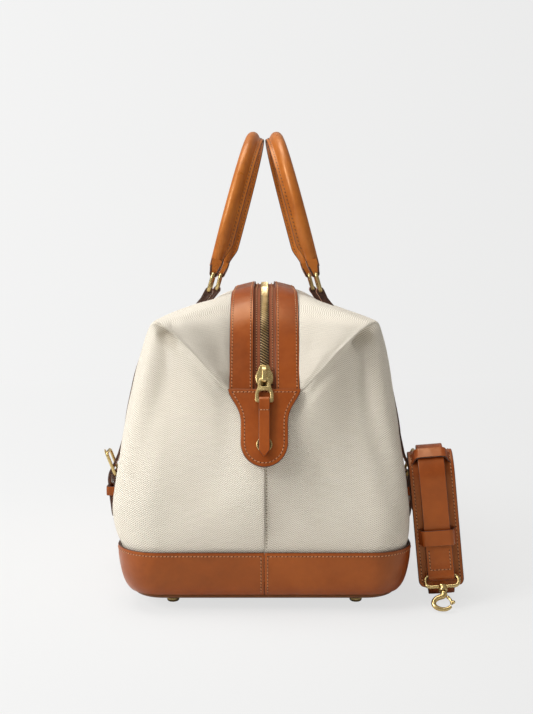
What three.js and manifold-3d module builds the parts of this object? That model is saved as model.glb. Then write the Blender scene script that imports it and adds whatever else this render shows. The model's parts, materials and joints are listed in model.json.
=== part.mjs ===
// Canvas and leather duffel bag, with its detachable shoulder strap coiled beside it.
// Millimetres, +Z up. X runs across the bag and Y along it: the end with the zip pull faces -Y.
// The origin is on the floor under the middle of everything, the coiled strap included. The parts
// are drawn about the middle of the bag itself, which stands BAG_X from the origin.

import * as THREE from "three";
import { mergeVertices } from "three/addons/utils/BufferGeometryUtils.js";
import Module from "manifold-3d";

const wasm = await Module();
wasm.setup();

// ---------------------------------------------------------------- driving dimensions
const BAG_X = -10.8;
const BASE_HALF_WIDTH = 139.5;
const BASE_HALF_LENGTH = 241;
const BASE_CORNER = 42;
const BAND_TOP = 59.5;
const BAND_FOOT = 17;
const LEATHER = 2.6;
const CANVAS = 2.2;
const GAP = 0.4;

// Zip line: a flat crest, a bend over each shoulder, then a straight slope down to the tab.
const CREST_RUN = 118;
const CREST_HEIGHT = 303.2;
const CREST_CROWN = 4;
const BEND_RADIUS = 80;
const SLOPE_ANGLE = THREE.MathUtils.degToRad(64.2);
const SLOPE_RUN = CREST_RUN + BEND_RADIUS * SLOPE_ANGLE;
const SLOPE_TOP_Y = CREST_RUN + BEND_RADIUS * Math.sin(SLOPE_ANGLE);
const SLOPE_TOP_Z = CREST_HEIGHT - BEND_RADIUS * (1 - Math.cos(SLOPE_ANGLE));
const STRIP_INNER = 10.5;
const STRIP_OUTER = 33;
const STRIP_END = 61;
const ROOF_TILT = Math.tan(THREE.MathUtils.degToRad(14));

// Carry handles, their rings and the straps that hold the rings.
const RING_Y = 85;
const RING_FOOT = new THREE.Vector2(58.4, 297);
const RING_LEAN = THREE.MathUtils.degToRad(16);
const RING_HEIGHT = 19;
const RING_HALF_WIDTH = 13.5;
const RING_WIRE = 2;
const RING_CORNER = 4;
const HANDLE_ROLL = 6.8;
const HANDLE_BORE = 4.5;
const HANDLE_CORE = 3.4;
const HANDLE_FLANGE = 12;
const HANDLE_TOP_X = 12.5;
const HANDLE_TOP_Z = 466;
const STRAP_WIDTH = 19;
const STRAP = 2.2;
const BUCKLE_Z = 103;

// Shoulder strap, coiled on edge beside the bag.
const SHOULDER_WIDTH = 25;
const SHOULDER = 2.4;
const PAD_WIDTH = 43;
const PAD = 3.5;
const COIL_PLACE = new THREE.Vector3(171, -207, 0);
const COIL_TURN = THREE.MathUtils.degToRad(-6);
const COIL_LEAN = THREE.MathUtils.degToRad(-5.6);

// ---------------------------------------------------------------- materials
const leather = (colour = 0xa4582a) =>
  new THREE.MeshStandardMaterial({ color: colour, roughness: 0.52, metalness: 0 });
const canvasCloth = () =>
  new THREE.MeshStandardMaterial({ color: 0xe2dacb, roughness: 0.92, metalness: 0 });
const liningCloth = () =>
  new THREE.MeshStandardMaterial({ color: 0xcbbd9f, roughness: 0.9, metalness: 0 });
const brass = () =>
  new THREE.MeshStandardMaterial({ color: 0xc9a04e, roughness: 0.28, metalness: 1 });
const board = () =>
  new THREE.MeshStandardMaterial({ color: 0x4a4036, roughness: 0.8, metalness: 0 });
const cord = () =>
  new THREE.MeshStandardMaterial({ color: 0xbba883, roughness: 0.95, metalness: 0 });

// ---------------------------------------------------------------- solids
const lerp = THREE.MathUtils.lerp;
const smooth = (x, from, to) => THREE.MathUtils.smoothstep(x, from, to);

function bufferOf(points, faces) {
  const flat = points.flatMap((p) => [p.x, p.y, p.z]);
  const geometry = new THREE.BufferGeometry();
  geometry.setAttribute("position", new THREE.Float32BufferAttribute(flat, 3));
  geometry.setIndex(faces.flat());
  return geometry;
}

function solidOf(geometry) {
  const bare = geometry.clone();
  bare.deleteAttribute("normal");
  bare.deleteAttribute("uv");
  const merged = mergeVertices(bare, 1e-3);
  const triVerts = new Uint32Array(merged.index.array);
  const vertProperties = new Float32Array(merged.attributes.position.array);
  const solid = new wasm.Manifold(new wasm.Mesh({ numProp: 3, vertProperties, triVerts }));
  if (solid.volume() >= 0) return solid;
  for (let i = 0; i < triVerts.length; i += 3) {
    [triVerts[i + 1], triVerts[i + 2]] = [triVerts[i + 2], triVerts[i + 1]];
  }
  return new wasm.Manifold(new wasm.Mesh({ numProp: 3, vertProperties, triVerts }));
}

function geometryOf(solid) {
  const mesh = solid.getMesh();
  const geometry = new THREE.BufferGeometry();
  geometry.setAttribute("position", new THREE.BufferAttribute(mesh.vertProperties, mesh.numProp));
  geometry.setIndex(new THREE.BufferAttribute(mesh.triVerts, 1));
  return geometry;
}

const joined = (...parts) => geometryOf(parts.map(solidOf).reduce((a, b) => a.add(b)));
const cut = (body, ...tools) =>
  geometryOf(tools.map(solidOf).reduce((a, b) => a.subtract(b), solidOf(body)));

// The biggest single body that is left after a cut.
function biggest(geometry) {
  const bodies = solidOf(geometry).decompose();
  return geometryOf(bodies.reduce((a, b) => (a.volume() > b.volume() ? a : b)));
}

const moved = (geometry, x, y, z) => geometry.clone().translate(x, y, z);

// A closed body between an outer and an inner sheet of points, given as functions of (u, v).
// A loop joins its last station to its first.
function slab(outer, inner, us, vs, loop = false) {
  const points = [];
  for (const face of [outer, inner]) {
    for (const u of us) for (const v of vs) points.push(face(u, v));
  }
  const rows = us.length;
  const cols = vs.length;
  const at = (side, i, j) => side * rows * cols + i * cols + j;
  const faces = [];
  const quad = (a, b, c, d) => faces.push([a, b, c], [a, c, d]);
  for (let i = 0; i < (loop ? rows : rows - 1); i += 1) {
    const k = (i + 1) % rows;
    for (let j = 0; j + 1 < cols; j += 1) {
      quad(at(0, i, j), at(0, k, j), at(0, k, j + 1), at(0, i, j + 1));
      quad(at(1, i, j), at(1, i, j + 1), at(1, k, j + 1), at(1, k, j));
    }
    quad(at(0, i, 0), at(1, i, 0), at(1, k, 0), at(0, k, 0));
    quad(at(0, i, cols - 1), at(0, k, cols - 1), at(1, k, cols - 1), at(1, i, cols - 1));
  }
  for (let j = 0; !loop && j + 1 < cols; j += 1) {
    quad(at(0, 0, j), at(0, 0, j + 1), at(1, 0, j + 1), at(1, 0, j));
    quad(at(0, rows - 1, j), at(1, rows - 1, j), at(1, rows - 1, j + 1), at(0, rows - 1, j + 1));
  }
  return geometryOf(solidOf(bufferOf(points, faces)));
}

// Skin over rings of points that all have the same count; the ends close flat unless it is a loop.
function loft(rings, { loop = false, section = null } = {}) {
  const count = rings[0].length;
  const points = rings.flat();
  const faces = [];
  const last = loop ? rings.length : rings.length - 1;
  for (let i = 0; i < last; i += 1) {
    const a = i * count;
    const b = ((i + 1) % rings.length) * count;
    for (let j = 0; j < count; j += 1) {
      const k = (j + 1) % count;
      faces.push([a + j, b + j, b + k], [a + j, b + k, a + k]);
    }
  }
  if (!loop) {
    const end = (rings.length - 1) * count;
    const round = () => Array.from({ length: count }, (_, j) => turn2(1, (j / count) * 2 * Math.PI));
    const flat = section ?? round();
    const clockwise = THREE.ShapeUtils.isClockWise(flat);
    for (const face of THREE.ShapeUtils.triangulateShape([...flat], [])) {
      const [a, b, c] = clockwise ? face.reverse() : face;
      faces.push([a, b, c], [end + a, end + c, end + b]);
    }
  }
  return geometryOf(solidOf(bufferOf(points, faces)));
}

const turn2 = (radius, angle) => new THREE.Vector2(radius * Math.cos(angle), radius * Math.sin(angle));
const steps = (count) => Array.from({ length: count + 1 }, (_, i) => i / count);

// A round wire of one radius along points; a loop joins its last point to its first.
function wire(points, radius, { sides = 8, loop = false } = {}) {
  const count = points.length;
  let side = null;
  const rings = points.map((p, i) => {
    const before = points[loop ? (i + count - 1) % count : Math.max(i - 1, 0)];
    const after = points[loop ? (i + 1) % count : Math.min(i + 1, count - 1)];
    const along = after.clone().sub(before).normalize();
    side ??= Math.abs(along.x) < 0.9 ? new THREE.Vector3(1, 0, 0) : new THREE.Vector3(0, 1, 0);
    side = side.clone().addScaledVector(along, -side.dot(along)).normalize();
    const up = along.clone().cross(side);
    return Array.from({ length: sides }, (_, j) => {
      const q = turn2(radius, (2 * Math.PI * j) / sides);
      return p.clone().addScaledVector(side, q.x).addScaledVector(up, q.y);
    });
  });
  return loft(rings, { loop });
}

// A flat strap of one thickness that follows a path in the YZ plane, with its width along X.
// The path is an array of Vector2 (y, z); width may be a function of the distance along it.
function ribbon(path, thickness, width) {
  const rings = [];
  let run = 0;
  path.forEach((p, i) => {
    const before = path[Math.max(i - 1, 0)];
    const after = path[Math.min(i + 1, path.length - 1)];
    if (i > 0) run += p.distanceTo(before);
    const along = after.clone().sub(before).normalize();
    const into = p.clone().sub(before).normalize();
    const stretch = i > 0 && i + 1 < path.length ? 1 / Math.max(along.dot(into), 0.5) : 1;
    const half = (thickness / 2) * stretch;
    const side = new THREE.Vector2(-along.y, along.x);
    const w = (typeof width === "function" ? width(run) : width) / 2;
    const corner = (x, k) => new THREE.Vector3(x, p.x + side.x * k, p.y + side.y * k);
    rings.push([corner(-w, -half), corner(w, -half), corner(w, half), corner(-w, half)]);
  });
  return loft(rings);
}

// Path of (y, z) points: straight runs through the corners given, and arcs given as
// { centre, radius, from, to }.
function pathOf(...pieces) {
  const points = [];
  for (const piece of pieces) {
    if (Array.isArray(piece)) {
      points.push(new THREE.Vector2(...piece));
      continue;
    }
    const { centre, radius, from, to, parts = 8 } = piece;
    for (const t of steps(parts)) {
      const angle = THREE.MathUtils.degToRad(lerp(from, to, t));
      points.push(turn2(radius, angle).add(new THREE.Vector2(...centre)));
    }
  }
  return points;
}

function smoothPath(path, parts) {
  const curve = new THREE.SplineCurve(path);
  return curve.getSpacedPoints(parts);
}

function cylinder(radius, length, sides = 12) {
  return new THREE.CylinderGeometry(radius, radius, length, sides);
}

// A rectangular loop in the XY plane of a shape, pulled out along Z.
function frameLoop(outerX, outerY, innerX, innerY, depth) {
  const shape = new THREE.Shape();
  shape.moveTo(-outerX, outerY[0]).lineTo(outerX, outerY[0]).lineTo(outerX, outerY[1]);
  shape.lineTo(-outerX, outerY[1]);
  const hole = new THREE.Path();
  hole.moveTo(-innerX, innerY[0]).lineTo(-innerX, innerY[1]).lineTo(innerX, innerY[1]);
  hole.lineTo(innerX, innerY[0]);
  shape.holes.push(hole);
  return new THREE.ExtrudeGeometry(shape, { depth, bevelEnabled: false });
}

// ---------------------------------------------------------------- nodes and joints
const whole = new THREE.Group();
const bag = groupAt(whole, { x: BAG_X });
const pivots = [];

function node(name, geometry, material, parent = bag) {
  const mesh = new THREE.Mesh(geometry, material);
  mesh.name = name;
  parent.add(mesh);
  return mesh;
}

function groupAt(parent, { x = 0, y = 0, z = 0 } = {}) {
  const group = new THREE.Group();
  group.position.set(x, y, z);
  parent.add(group);
  return group;
}

// Notes a joint's point and axis in the local frame of a group.
function pivot(joint, group, point, axis) {
  pivots.push({ joint, group, point: new THREE.Vector3(...point), axis: new THREE.Vector3(...axis) });
}

// ---------------------------------------------------------------- base
// Leather band: how far its outside stands in from the base outline at height z.
function bandInset(z) {
  const t = THREE.MathUtils.clamp((BAND_TOP - z) / (BAND_TOP - BAND_FOOT), 0, 1);
  return 8 * t ** 2 + 3 * t ** 10;
}

// Point on half of the base outline: t runs 0 to 1 from the front end round a side to the back end.
function outline(t, inset) {
  const a = BASE_HALF_WIDTH - inset;
  const b = BASE_HALF_LENGTH - inset;
  const r = BASE_CORNER - inset;
  const arc = (Math.PI / 2) * r;
  const quarter = a - r + arc + b - r;
  const s = (t < 0.5 ? t : 1 - t) * 2 * quarter;
  const end = t < 0.5 ? -1 : 1;
  if (s < a - r) return { x: s, y: end * b, nx: 0, ny: end };
  if (s > a - r + arc) return { x: a, y: end * (b - r - (s - (a - r) - arc)), nx: 1, ny: 0 };
  const angle = (s - (a - r)) / r;
  const nx = Math.sin(angle);
  const ny = end * Math.cos(angle);
  return { x: a - r + r * nx, y: end * (b - r) + r * ny, nx, ny };
}

// Places along the outline where its facets break, closest together round the corner.
const CORNER_STOPS = [0.136, 0.151, 0.166, 0.181, 0.197, 0.212, 0.227];
const OUTLINE_STOPS = [0, 0.06, 0.12, ...CORNER_STOPS, 0.25, 0.33, 0.42, 0.5];
const OUTLINE_ROUND = [...OUTLINE_STOPS, ...OUTLINE_STOPS.slice(0, -1).reverse().map((t) => 1 - t)];

function band(side) {
  const wall = (depth) => (t, z) => {
    const p = outline(t, bandInset(z) + depth);
    return new THREE.Vector3(side * Math.max(p.x, 0.2), p.y, z);
  };
  const heights = [BAND_FOOT, 19.5, 24, 34, BAND_TOP];
  return slab(wall(0), wall(LEATHER), OUTLINE_ROUND, heights);
}

const PANEL = { halfWidth: 125, halfLength: 227, corner: 30, low: 10, high: 16.6 };
const BOARD = { halfWidth: 120, halfLength: 222, corner: 26, low: 17.6, high: 20 };

function plate({ halfWidth, halfLength, corner, low, high }) {
  const shape = new THREE.Shape();
  const x = halfWidth - corner;
  const y = halfLength - corner;
  shape.absarc(x, y, corner, 0, Math.PI / 2);
  shape.absarc(-x, y, corner, Math.PI / 2, Math.PI);
  shape.absarc(-x, -y, corner, Math.PI, Math.PI * 1.5);
  shape.absarc(x, -y, corner, Math.PI * 1.5, Math.PI * 2);
  const solid = { depth: high - low, bevelEnabled: false, curveSegments: 6 };
  return moved(new THREE.ExtrudeGeometry(shape, solid), 0, 0, low);
}

const FOOT_X = 88;
const FOOT_Y = 195;
const FOOT_TOP = 9.6;

function foot() {
  const profile = [[0, 0], [4.5, 0], [5.6, 0.7], [6, 1.8], [6, FOOT_TOP], [0, FOOT_TOP]];
  const lathe = new THREE.LatheGeometry(profile.map((p) => new THREE.Vector2(...p)), 10);
  return lathe.rotateX(Math.PI / 2);
}

function base() {
  node("base_band_left", band(-1), leather());
  node("base_band_right", band(1), leather());
  node("base_panel", plate(PANEL), leather(0x8c4a24));
  node("base_board", plate(BOARD), board());
  for (const [end, y] of [["front", -FOOT_Y], ["back", FOOT_Y]]) {
    for (const [name, x] of [["left", -FOOT_X], ["right", FOOT_X]]) {
      node(`foot_${end}_${name}`, foot(), brass()).position.set(x, y, 0);
    }
  }
}

// ---------------------------------------------------------------- zip line
// Point and outward normal of the zip line at a signed run from the middle of the bag.
function zipLine(run) {
  const a = Math.abs(run);
  const end = run < 0 ? -1 : 1;
  if (a <= CREST_RUN) {
    const crown = CREST_CROWN * Math.cos((Math.PI * a) / (2 * CREST_RUN)) ** 2;
    return { y: run, z: CREST_HEIGHT + crown, ny: 0, nz: 1 };
  }
  const angle = Math.min((a - CREST_RUN) / BEND_RADIUS, SLOPE_ANGLE);
  const down = Math.max(a - SLOPE_RUN, 0);
  const y = CREST_RUN + BEND_RADIUS * Math.sin(angle) + down * Math.cos(SLOPE_ANGLE);
  const z = CREST_HEIGHT - BEND_RADIUS * (1 - Math.cos(angle)) - down * Math.sin(SLOPE_ANGLE);
  return { y: end * y, z, ny: end * Math.sin(angle), nz: Math.cos(angle) };
}

function offZipLine(run, x, offset) {
  const p = zipLine(run);
  return new THREE.Vector3(x, p.y + p.ny * offset, p.z + p.nz * offset);
}

// The strips fall away from the zip like a roof on the crest and lie flat near the tabs.
function stripDrop(run, x) {
  const tilt = ROOF_TILT * (1 - smooth(Math.abs(run), CREST_RUN, SLOPE_RUN + 20));
  return -tilt * (Math.abs(x) - STRIP_INNER);
}

function zipRuns(end, parts = 12) {
  const half = steps(parts).map((t) => t * end);
  return [...half.slice(1).reverse().map((a) => -a), ...half];
}

function strip(side, grow = 0) {
  const face = (offset) => (run, x) => offZipLine(run, side * x, stripDrop(run, x) + offset);
  const across = [STRIP_INNER - grow, STRIP_OUTER + grow];
  return slab(face(grow), face(-LEATHER - grow), zipRuns(SLOPE_RUN + STRIP_END + grow), across);
}

const ZIP_END = 56;
const TEETH_HALF = 4.3;
const TAPE_HALF = 14;

// Half of the zip: its tape, with its row of teeth standing on the inner edge.
function zipHalf(side) {
  const corners = [[0.2, -0.2], [TEETH_HALF, -0.2], [TEETH_HALF, -3.4], [TAPE_HALF, -3.7],
    [TAPE_HALF, -4.6], [0.2, -4.4]];
  const section = corners.map((p) => new THREE.Vector2(...p));
  const rings = zipRuns(SLOPE_RUN + ZIP_END).map((run) => section.map((p) => {
    const drop = p.x > TEETH_HALF ? stripDrop(run, TAPE_HALF) : 0;
    return offZipLine(run, side * p.x, p.y + drop);
  }));
  return loft(rings, { section });
}

const TAB_TOP = 57.5;
const TAB_FOOT = 130.6;
const TAB_THICKNESS = 2.4;

function tab() {
  const shape = new THREE.Shape();
  shape.moveTo(-STRIP_OUTER, -TAB_TOP);
  shape.bezierCurveTo(-31, -68, -21, -74, -21, -90);
  shape.lineTo(-21, -108);
  shape.bezierCurveTo(-21, -121, -11, -TAB_FOOT, 0, -TAB_FOOT);
  shape.bezierCurveTo(11, -TAB_FOOT, 21, -121, 21, -108);
  shape.lineTo(21, -90);
  shape.bezierCurveTo(21, -74, 31, -68, STRIP_OUTER, -TAB_TOP);
  const solid = { depth: TAB_THICKNESS, bevelEnabled: false, curveSegments: 7 };
  return moved(new THREE.ExtrudeGeometry(shape, solid), 0, 0, GAP);
}

// A group whose Y axis climbs the slope at one end of the bag and whose Z axis faces out of it.
function slopeGroup(end) {
  const yaw = groupAt(bag);
  yaw.rotation.z = end < 0 ? 0 : Math.PI;
  const group = groupAt(yaw, { y: -SLOPE_TOP_Y, z: SLOPE_TOP_Z });
  group.rotation.x = SLOPE_ANGLE;
  return group;
}

const STUD_RUN = 110.6;

function stud() {
  const profile = [[0, 0], [7.4, 0], [7.4, 0.7], [6.8, 1.2], [6, 1.2], [5.7, 0.7], [0, 0.9]];
  const lathe = new THREE.LatheGeometry(profile.map((p) => new THREE.Vector2(...p)), 18);
  return lathe.rotateX(Math.PI / 2);
}

const SLIDER_RUN = 44.5;
const SLIDER_HALF = 11;
const SLIDER_WIDTH = 7.6;
const SLIDER_THROAT = 5.6;
const PULL_AXIS_DOWN = 4;
const PULL_AXIS_OUT = 4.4;
const PULL_LENGTH = 21.4;
const PULL_TILT = THREE.MathUtils.degToRad(7);
const PULLER_LENGTH = 53;

// Slider: a plate over the teeth with a lip down each side and a bridge that holds the pull.
function slider() {
  const section = [[-7.6, -2.9], [-4.9, -2.9], [-4.9, 0.3], [4.9, 0.3], [4.9, -2.9], [7.6, -2.9],
    [7.6, 1.4], [6.6, 2.1], [-6.6, 2.1], [-7.6, 1.4]].map((p) => new THREE.Vector2(...p));
  const ends = [[-1, 0.62], [-0.45, 1], [0.45, 1], [1, 0.9]];
  const rings = ends.map(([along, wide]) =>
    section.map((p) => {
      const x = Math.sign(p.x) * Math.min(Math.abs(p.x), Math.max(SLIDER_WIDTH * wide, SLIDER_THROAT));
      return new THREE.Vector3(x, along * SLIDER_HALF, p.y);
    }));
  const arch = pathOf([7, 1.4], [6.2, 5.2], [3.4, 7.1], [-3.4, 7.1], [-8.2, 5.6], [-9.2, 1.4]);
  return joined(loft(rings, { section }), ribbon(smoothPath(arch, 14), 1.4, 3));
}

// Pull: a flat brass frame, narrow at the top bar and wide at the bar that carries the leather.
function pull() {
  const shape = new THREE.Shape();
  shape.moveTo(-4.4, 1).lineTo(4.4, 1).lineTo(5.2, 0).lineTo(6, -9).lineTo(8.1, -14);
  shape.lineTo(8.1, -22).lineTo(7.3, -22.8).lineTo(-7.3, -22.8).lineTo(-8.1, -22).lineTo(-8.1, -14);
  shape.lineTo(-6, -9).lineTo(-5.2, 0);
  const eye = new THREE.Path();
  eye.moveTo(-2.9, -1).lineTo(-3.4, -7.4).lineTo(3.4, -7.4).lineTo(2.9, -1);
  const slot = new THREE.Path();
  slot.moveTo(-5.6, -13).lineTo(-5.6, -20.2).lineTo(5.6, -20.2).lineTo(5.6, -13).lineTo(3.5, -9.6);
  slot.lineTo(-3.5, -9.6);
  shape.holes.push(eye, slot);
  const solid = { depth: 1.8, bevelEnabled: false };
  return moved(new THREE.ExtrudeGeometry(shape, solid), 0, 0, -0.9);
}

// Leather puller: folded round the lower bar of the pull, two layers stitched flat, pointed below.
function puller() {
  const path = pathOf([-48, -1.05], [-20, -1.05], [-9, -1.4], [-4, -2.5],
    { centre: [0, 0], radius: 2.9, from: -95, to: 95, parts: 8 },
    [-4, 2.5], [-9, 1.4], [-20, 1.05], [-PULLER_LENGTH + 8, 1.05], [-PULLER_LENGTH, 1.05]);
  const total = 2 * PULLER_LENGTH + 9.5;
  const width = (run) => (run > total - 8 ? lerp(2.4, 10, (total - run) / 8) : 10);
  return ribbon(path, 1.8, width);
}

function zip() {
  node("zip_strip_left", strip(-1), leather());
  node("zip_strip_right", strip(1), leather());
  node("zip_half_left", zipHalf(-1), brass());
  node("zip_half_right", zipHalf(1), brass());
  const front = slopeGroup(-1);
  node("tab_front", tab(), leather(), front);
  node("tab_back", tab(), leather(), slopeGroup(1));
  node("stud", stud(), brass(), front).position.set(0, -STUD_RUN, GAP + TAB_THICKNESS + 0.3);
  const carrier = groupAt(front, { y: -SLIDER_RUN });
  node("slider", slider(), brass(), carrier);
  pivot("slider_slide", carrier, [0, 0, 0], [0, 1, 0]);
  const hanger = groupAt(carrier, { y: -PULL_AXIS_DOWN, z: PULL_AXIS_OUT });
  hanger.rotation.x = -PULL_TILT;
  node("pull", pull(), brass(), hanger);
  pivot("pull_hinge", hanger, [0, 0, 0], [-1, 0, 0]);
  const tail = groupAt(hanger, { y: -PULL_LENGTH - 0.1 });
  tail.rotation.x = PULL_TILT;
  node("puller", puller(), leather(), tail);
  pivot("puller_hinge", tail, [0, 0, 0], [-1, 0, 0]);
}

// ---------------------------------------------------------------- canvas
// Stations round a quarter of the bag, from the middle of an end to the middle of a side.
// edge: place along the base outline, on a scale that ends at QUARTER; rim: ridge between wall and
// roof (x, y, z); run: where the roof meets the zip line; low and high: outward swell of the wall's
// lower and upper part; drop: how far under the rim the upper swell acts; puff: swell of the roof.
const STATIONS = [
  { edge: 0, rim: [0, 217, 197], run: 269, low: 17, high: 33, drop: 47, puff: [0, 0] },
  { edge: 36, rim: [33, 212.2, 205], run: 262, low: 17, high: 30, drop: 46, puff: [1, 0] },
  { edge: 55, rim: [50, 215.5, 222], run: 243.2, low: 15, high: 18, drop: 45, puff: [3, 0] },
  { edge: 76, rim: [70, 216, 243], run: 224.3, low: 14, high: 2, drop: 40, puff: [3, 1] },
  { edge: 98, rim: [89, 210, 262], run: 207.6, low: 16, high: -10, drop: 34, puff: [3, 3] },
  { edge: 122, rim: [103, 200, 270.5], run: 180, low: 22, high: -12, drop: 30, puff: [3, 4] },
  { edge: 150, rim: [111, 183, 271], run: 150, low: 29, high: 4, drop: 22, puff: [4, 5] },
  { edge: 205, rim: [113, 150, 270], run: 122, low: 33, high: 14, drop: 16, puff: [4, 6] },
  { edge: 279, rim: [113, 75, 269.5], run: 61, low: 37, high: 20, drop: 14, puff: [4, 6] },
  { edge: 353.4, rim: [113, 0, 269], run: 0, low: 38.5, high: 24, drop: 14, puff: [4, 6] },
];
const QUARTER = 353.4;
const RIGHT_SIDE_SWELL = 0.5;
const TUCK_DEPTH = 29.5;
const BAND_ROOM = 1.2;
const ROOF_EDGE = 29;

const bezier = (a, b, c, d, t) => new THREE.CubicBezierCurve3(a, b, c, d).getPoint(t);

// Wall and roof control points of one station; front is -1 or 1, side is -1 or 1.
function stationOf(index, end, side) {
  const s = STATIONS[index];
  const swell = side < 0 ? 1 : RIGHT_SIDE_SWELL;
  const p = outline(s.edge / QUARTER / 2, LEATHER + BAND_ROOM);
  const foot = new THREE.Vector3(side * p.x, -end * p.y, BAND_TOP);
  const away = new THREE.Vector3(side * p.nx, -end * p.ny, 0);
  const rim = new THREE.Vector3(side * s.rim[0], end * s.rim[1], s.rim[2]);
  const low = foot.clone().addScaledVector(away, s.low * swell);
  low.z = BAND_TOP + 0.33 * (s.rim[2] - BAND_TOP);
  const high = rim.clone().addScaledVector(away, s.high);
  high.z -= s.drop;
  const x = index === 0 ? 0 : ROOF_EDGE;
  const under = stripDrop(s.run, ROOF_EDGE) - LEATHER - 2 * GAP - (index < 2 ? 3 : 0);
  const top = offZipLine(end * s.run, side * x, under);
  const lean = zipLine(end * s.run);
  const out = new THREE.Vector3(0, lean.ny, lean.nz);
  const roofLow = rim.clone().lerp(top, 1 / 3).addScaledVector(out, s.puff[0]);
  const roofHigh = rim.clone().lerp(top, 2 / 3).addScaledVector(out, s.puff[1]);
  return { foot, low, high, rim, roofLow, roofHigh, top, away };
}

// The canvas keeps under the flat plane of the tab where the tab lies on it.
function underTab(p) {
  if (Math.abs(p.x) > STRIP_OUTER + 3 || p.z < 130 || p.z > 215) return p;
  const out = (Math.abs(p.y) - SLOPE_TOP_Y) * Math.sin(SLOPE_ANGLE);
  const extra = out + (p.z - SLOPE_TOP_Z) * Math.cos(SLOPE_ANGLE) + 0.1;
  if (extra <= 0) return p;
  p.y -= Math.sign(p.y) * extra * Math.sin(SLOPE_ANGLE);
  p.z -= extra * Math.cos(SLOPE_ANGLE);
  return p;
}

// Canvas skin: u runs 0 to 18 from the front end round a side to the back end, and v runs
// -1 to 0 inside the band, 0 to 1 up the wall and 1 to 2 over the roof.
function skin(side, u, v) {
  const point = (index) => {
    const end = index <= 9 ? -1 : 1;
    const s = stationOf(index <= 9 ? index : 18 - index, end, side);
    if (v < 0) {
      const z = BAND_TOP + v * TUCK_DEPTH;
      return s.foot.clone().addScaledVector(s.away, -bandInset(z)).setZ(z);
    }
    if (v <= 1) return bezier(s.foot, s.low, s.high, s.rim, v);
    return bezier(s.rim, s.roofLow, s.roofHigh, s.top, v - 1);
  };
  const index = Math.min(Math.floor(u), 17);
  const t = u - index;
  if (t < 1e-6) return underTab(point(index));
  if (t > 1 - 1e-6) return underTab(point(index + 1));
  const around = [index - 1, index, index + 1, index + 2].map((i) => {
    if (i < 0) return point(-i).multiply(new THREE.Vector3(-1, 1, 1));
    if (i > 18) return point(36 - i).multiply(new THREE.Vector3(-1, 1, 1));
    return point(i);
  });
  return underTab(new THREE.CatmullRomCurve3(around, false, "centripetal").getPoint((1 + t) / 3));
}

// The skin moved inwards along its own normal.
function skinInside(side, u, v, depth) {
  const du = 0.02;
  const dv = 0.004;
  const low = Math.floor(v + 1e-9) === v && v > 0 ? v - dv : v;
  const a = skin(side, Math.max(u - du, 0), low);
  const b = skin(side, Math.min(u + du, 18), low);
  const c = skin(side, u, Math.max(v - dv, -1));
  const d = skin(side, u, Math.min(v + dv, 2));
  const normal = b.sub(a).cross(d.sub(c)).normalize().multiplyScalar(side);
  return skin(side, u, v).addScaledVector(normal, -depth);
}

const WALL_ROWS = [-1, 0, 0.17, 0.34, 0.51, 0.68, 0.83, 0.94, 1, 1.12, 1.35, 1.6, 1.82, 2];

function canvas(side) {
  const us = steps(18).map((t) => t * 18);
  const clear = (p) => p.setX(side * Math.max(side * p.x, 0.2));
  const outer = (u, v) => clear(skin(side, u, v));
  const inner = (u, v) => clear(skinInside(side, u, v, CANVAS));
  return biggest(cut(slab(outer, inner, us, WALL_ROWS), strip(side, GAP)));
}

const LINING = 1.6;
const LINING_DEPTH = 8;
const LINING_FLOOR = 22;
const LINING_ROWS = [-1, 0.05, 0.2, 0.35, 0.5, 0.65, 0.78, 0.9];

// Lining: one open-topped tub that hangs a little inside the canvas. Its stations run 0 to 18 up
// the right side and 18 to 36 back down the left side; row -1 is the floor's edge.
function lining() {
  const floorAt = (station, depth, z) => {
    const right = station < 18;
    const p = outline(right ? station / 18 : 2 - station / 18, bandInset(LINING_FLOOR) + depth);
    return new THREE.Vector3(right ? p.x : -p.x, p.y, z);
  };
  const face = (depth) => (station, v) => {
    if (v < 0) return floorAt(station, depth, LINING_FLOOR);
    return station < 18 ? skinInside(1, station, v, depth) : skinInside(-1, 36 - station, v, depth);
  };
  const stations = Array.from({ length: 36 }, (_, i) => i);
  const wall = slab(face(LINING_DEPTH), face(LINING_DEPTH + LINING), stations, LINING_ROWS, true);
  const ring = (z) => stations.map((i) => floorAt(i, LINING_DEPTH + LINING / 2, z));
  return joined(wall, loft([ring(LINING_FLOOR), ring(LINING_FLOOR + LINING)]));
}

function body() {
  node("canvas_left", canvas(-1), canvasCloth());
  node("canvas_right", canvas(1), canvasCloth());
  node("lining", lining(), liningCloth());
}

// ---------------------------------------------------------------- handles, rings and side straps
// Outline of the canvas at one Y, as a function of v: a Vector2 of distance from the middle and z.
function girth(side, y, v) {
  let low = 0;
  let high = 18;
  for (let i = 0; i < 30; i += 1) {
    const mid = (low + high) / 2;
    if (skin(side, mid, v).y < y) low = mid;
    else high = mid;
  }
  const p = skin(side, low, v);
  return new THREE.Vector2(side * p.x, p.z);
}

// Path along the canvas at one Y between two values of v, at a distance from it.
function alongGirth(side, y, from, to, offset, parts) {
  return steps(parts).map((t) => {
    const v = lerp(from, to, t);
    const after = girth(side, y, Math.min(v + 0.01, 2));
    const way = after.sub(girth(side, y, Math.max(v - 0.01, 0))).normalize();
    return girth(side, y, v).add(new THREE.Vector2(way.y, -way.x).multiplyScalar(offset));
  });
}

// Carries a strap made in the YZ plane (width along X) to a side of the bag: Y becomes distance
// out from the middle, Z stays up, and X becomes the bag's Y.
function sideGroup(side, y, x = 0, z = 0) {
  const group = groupAt(bag, { x: side * x, y, z });
  group.rotation.z = side < 0 ? Math.PI / 2 : -Math.PI / 2;
  return group;
}

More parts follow.
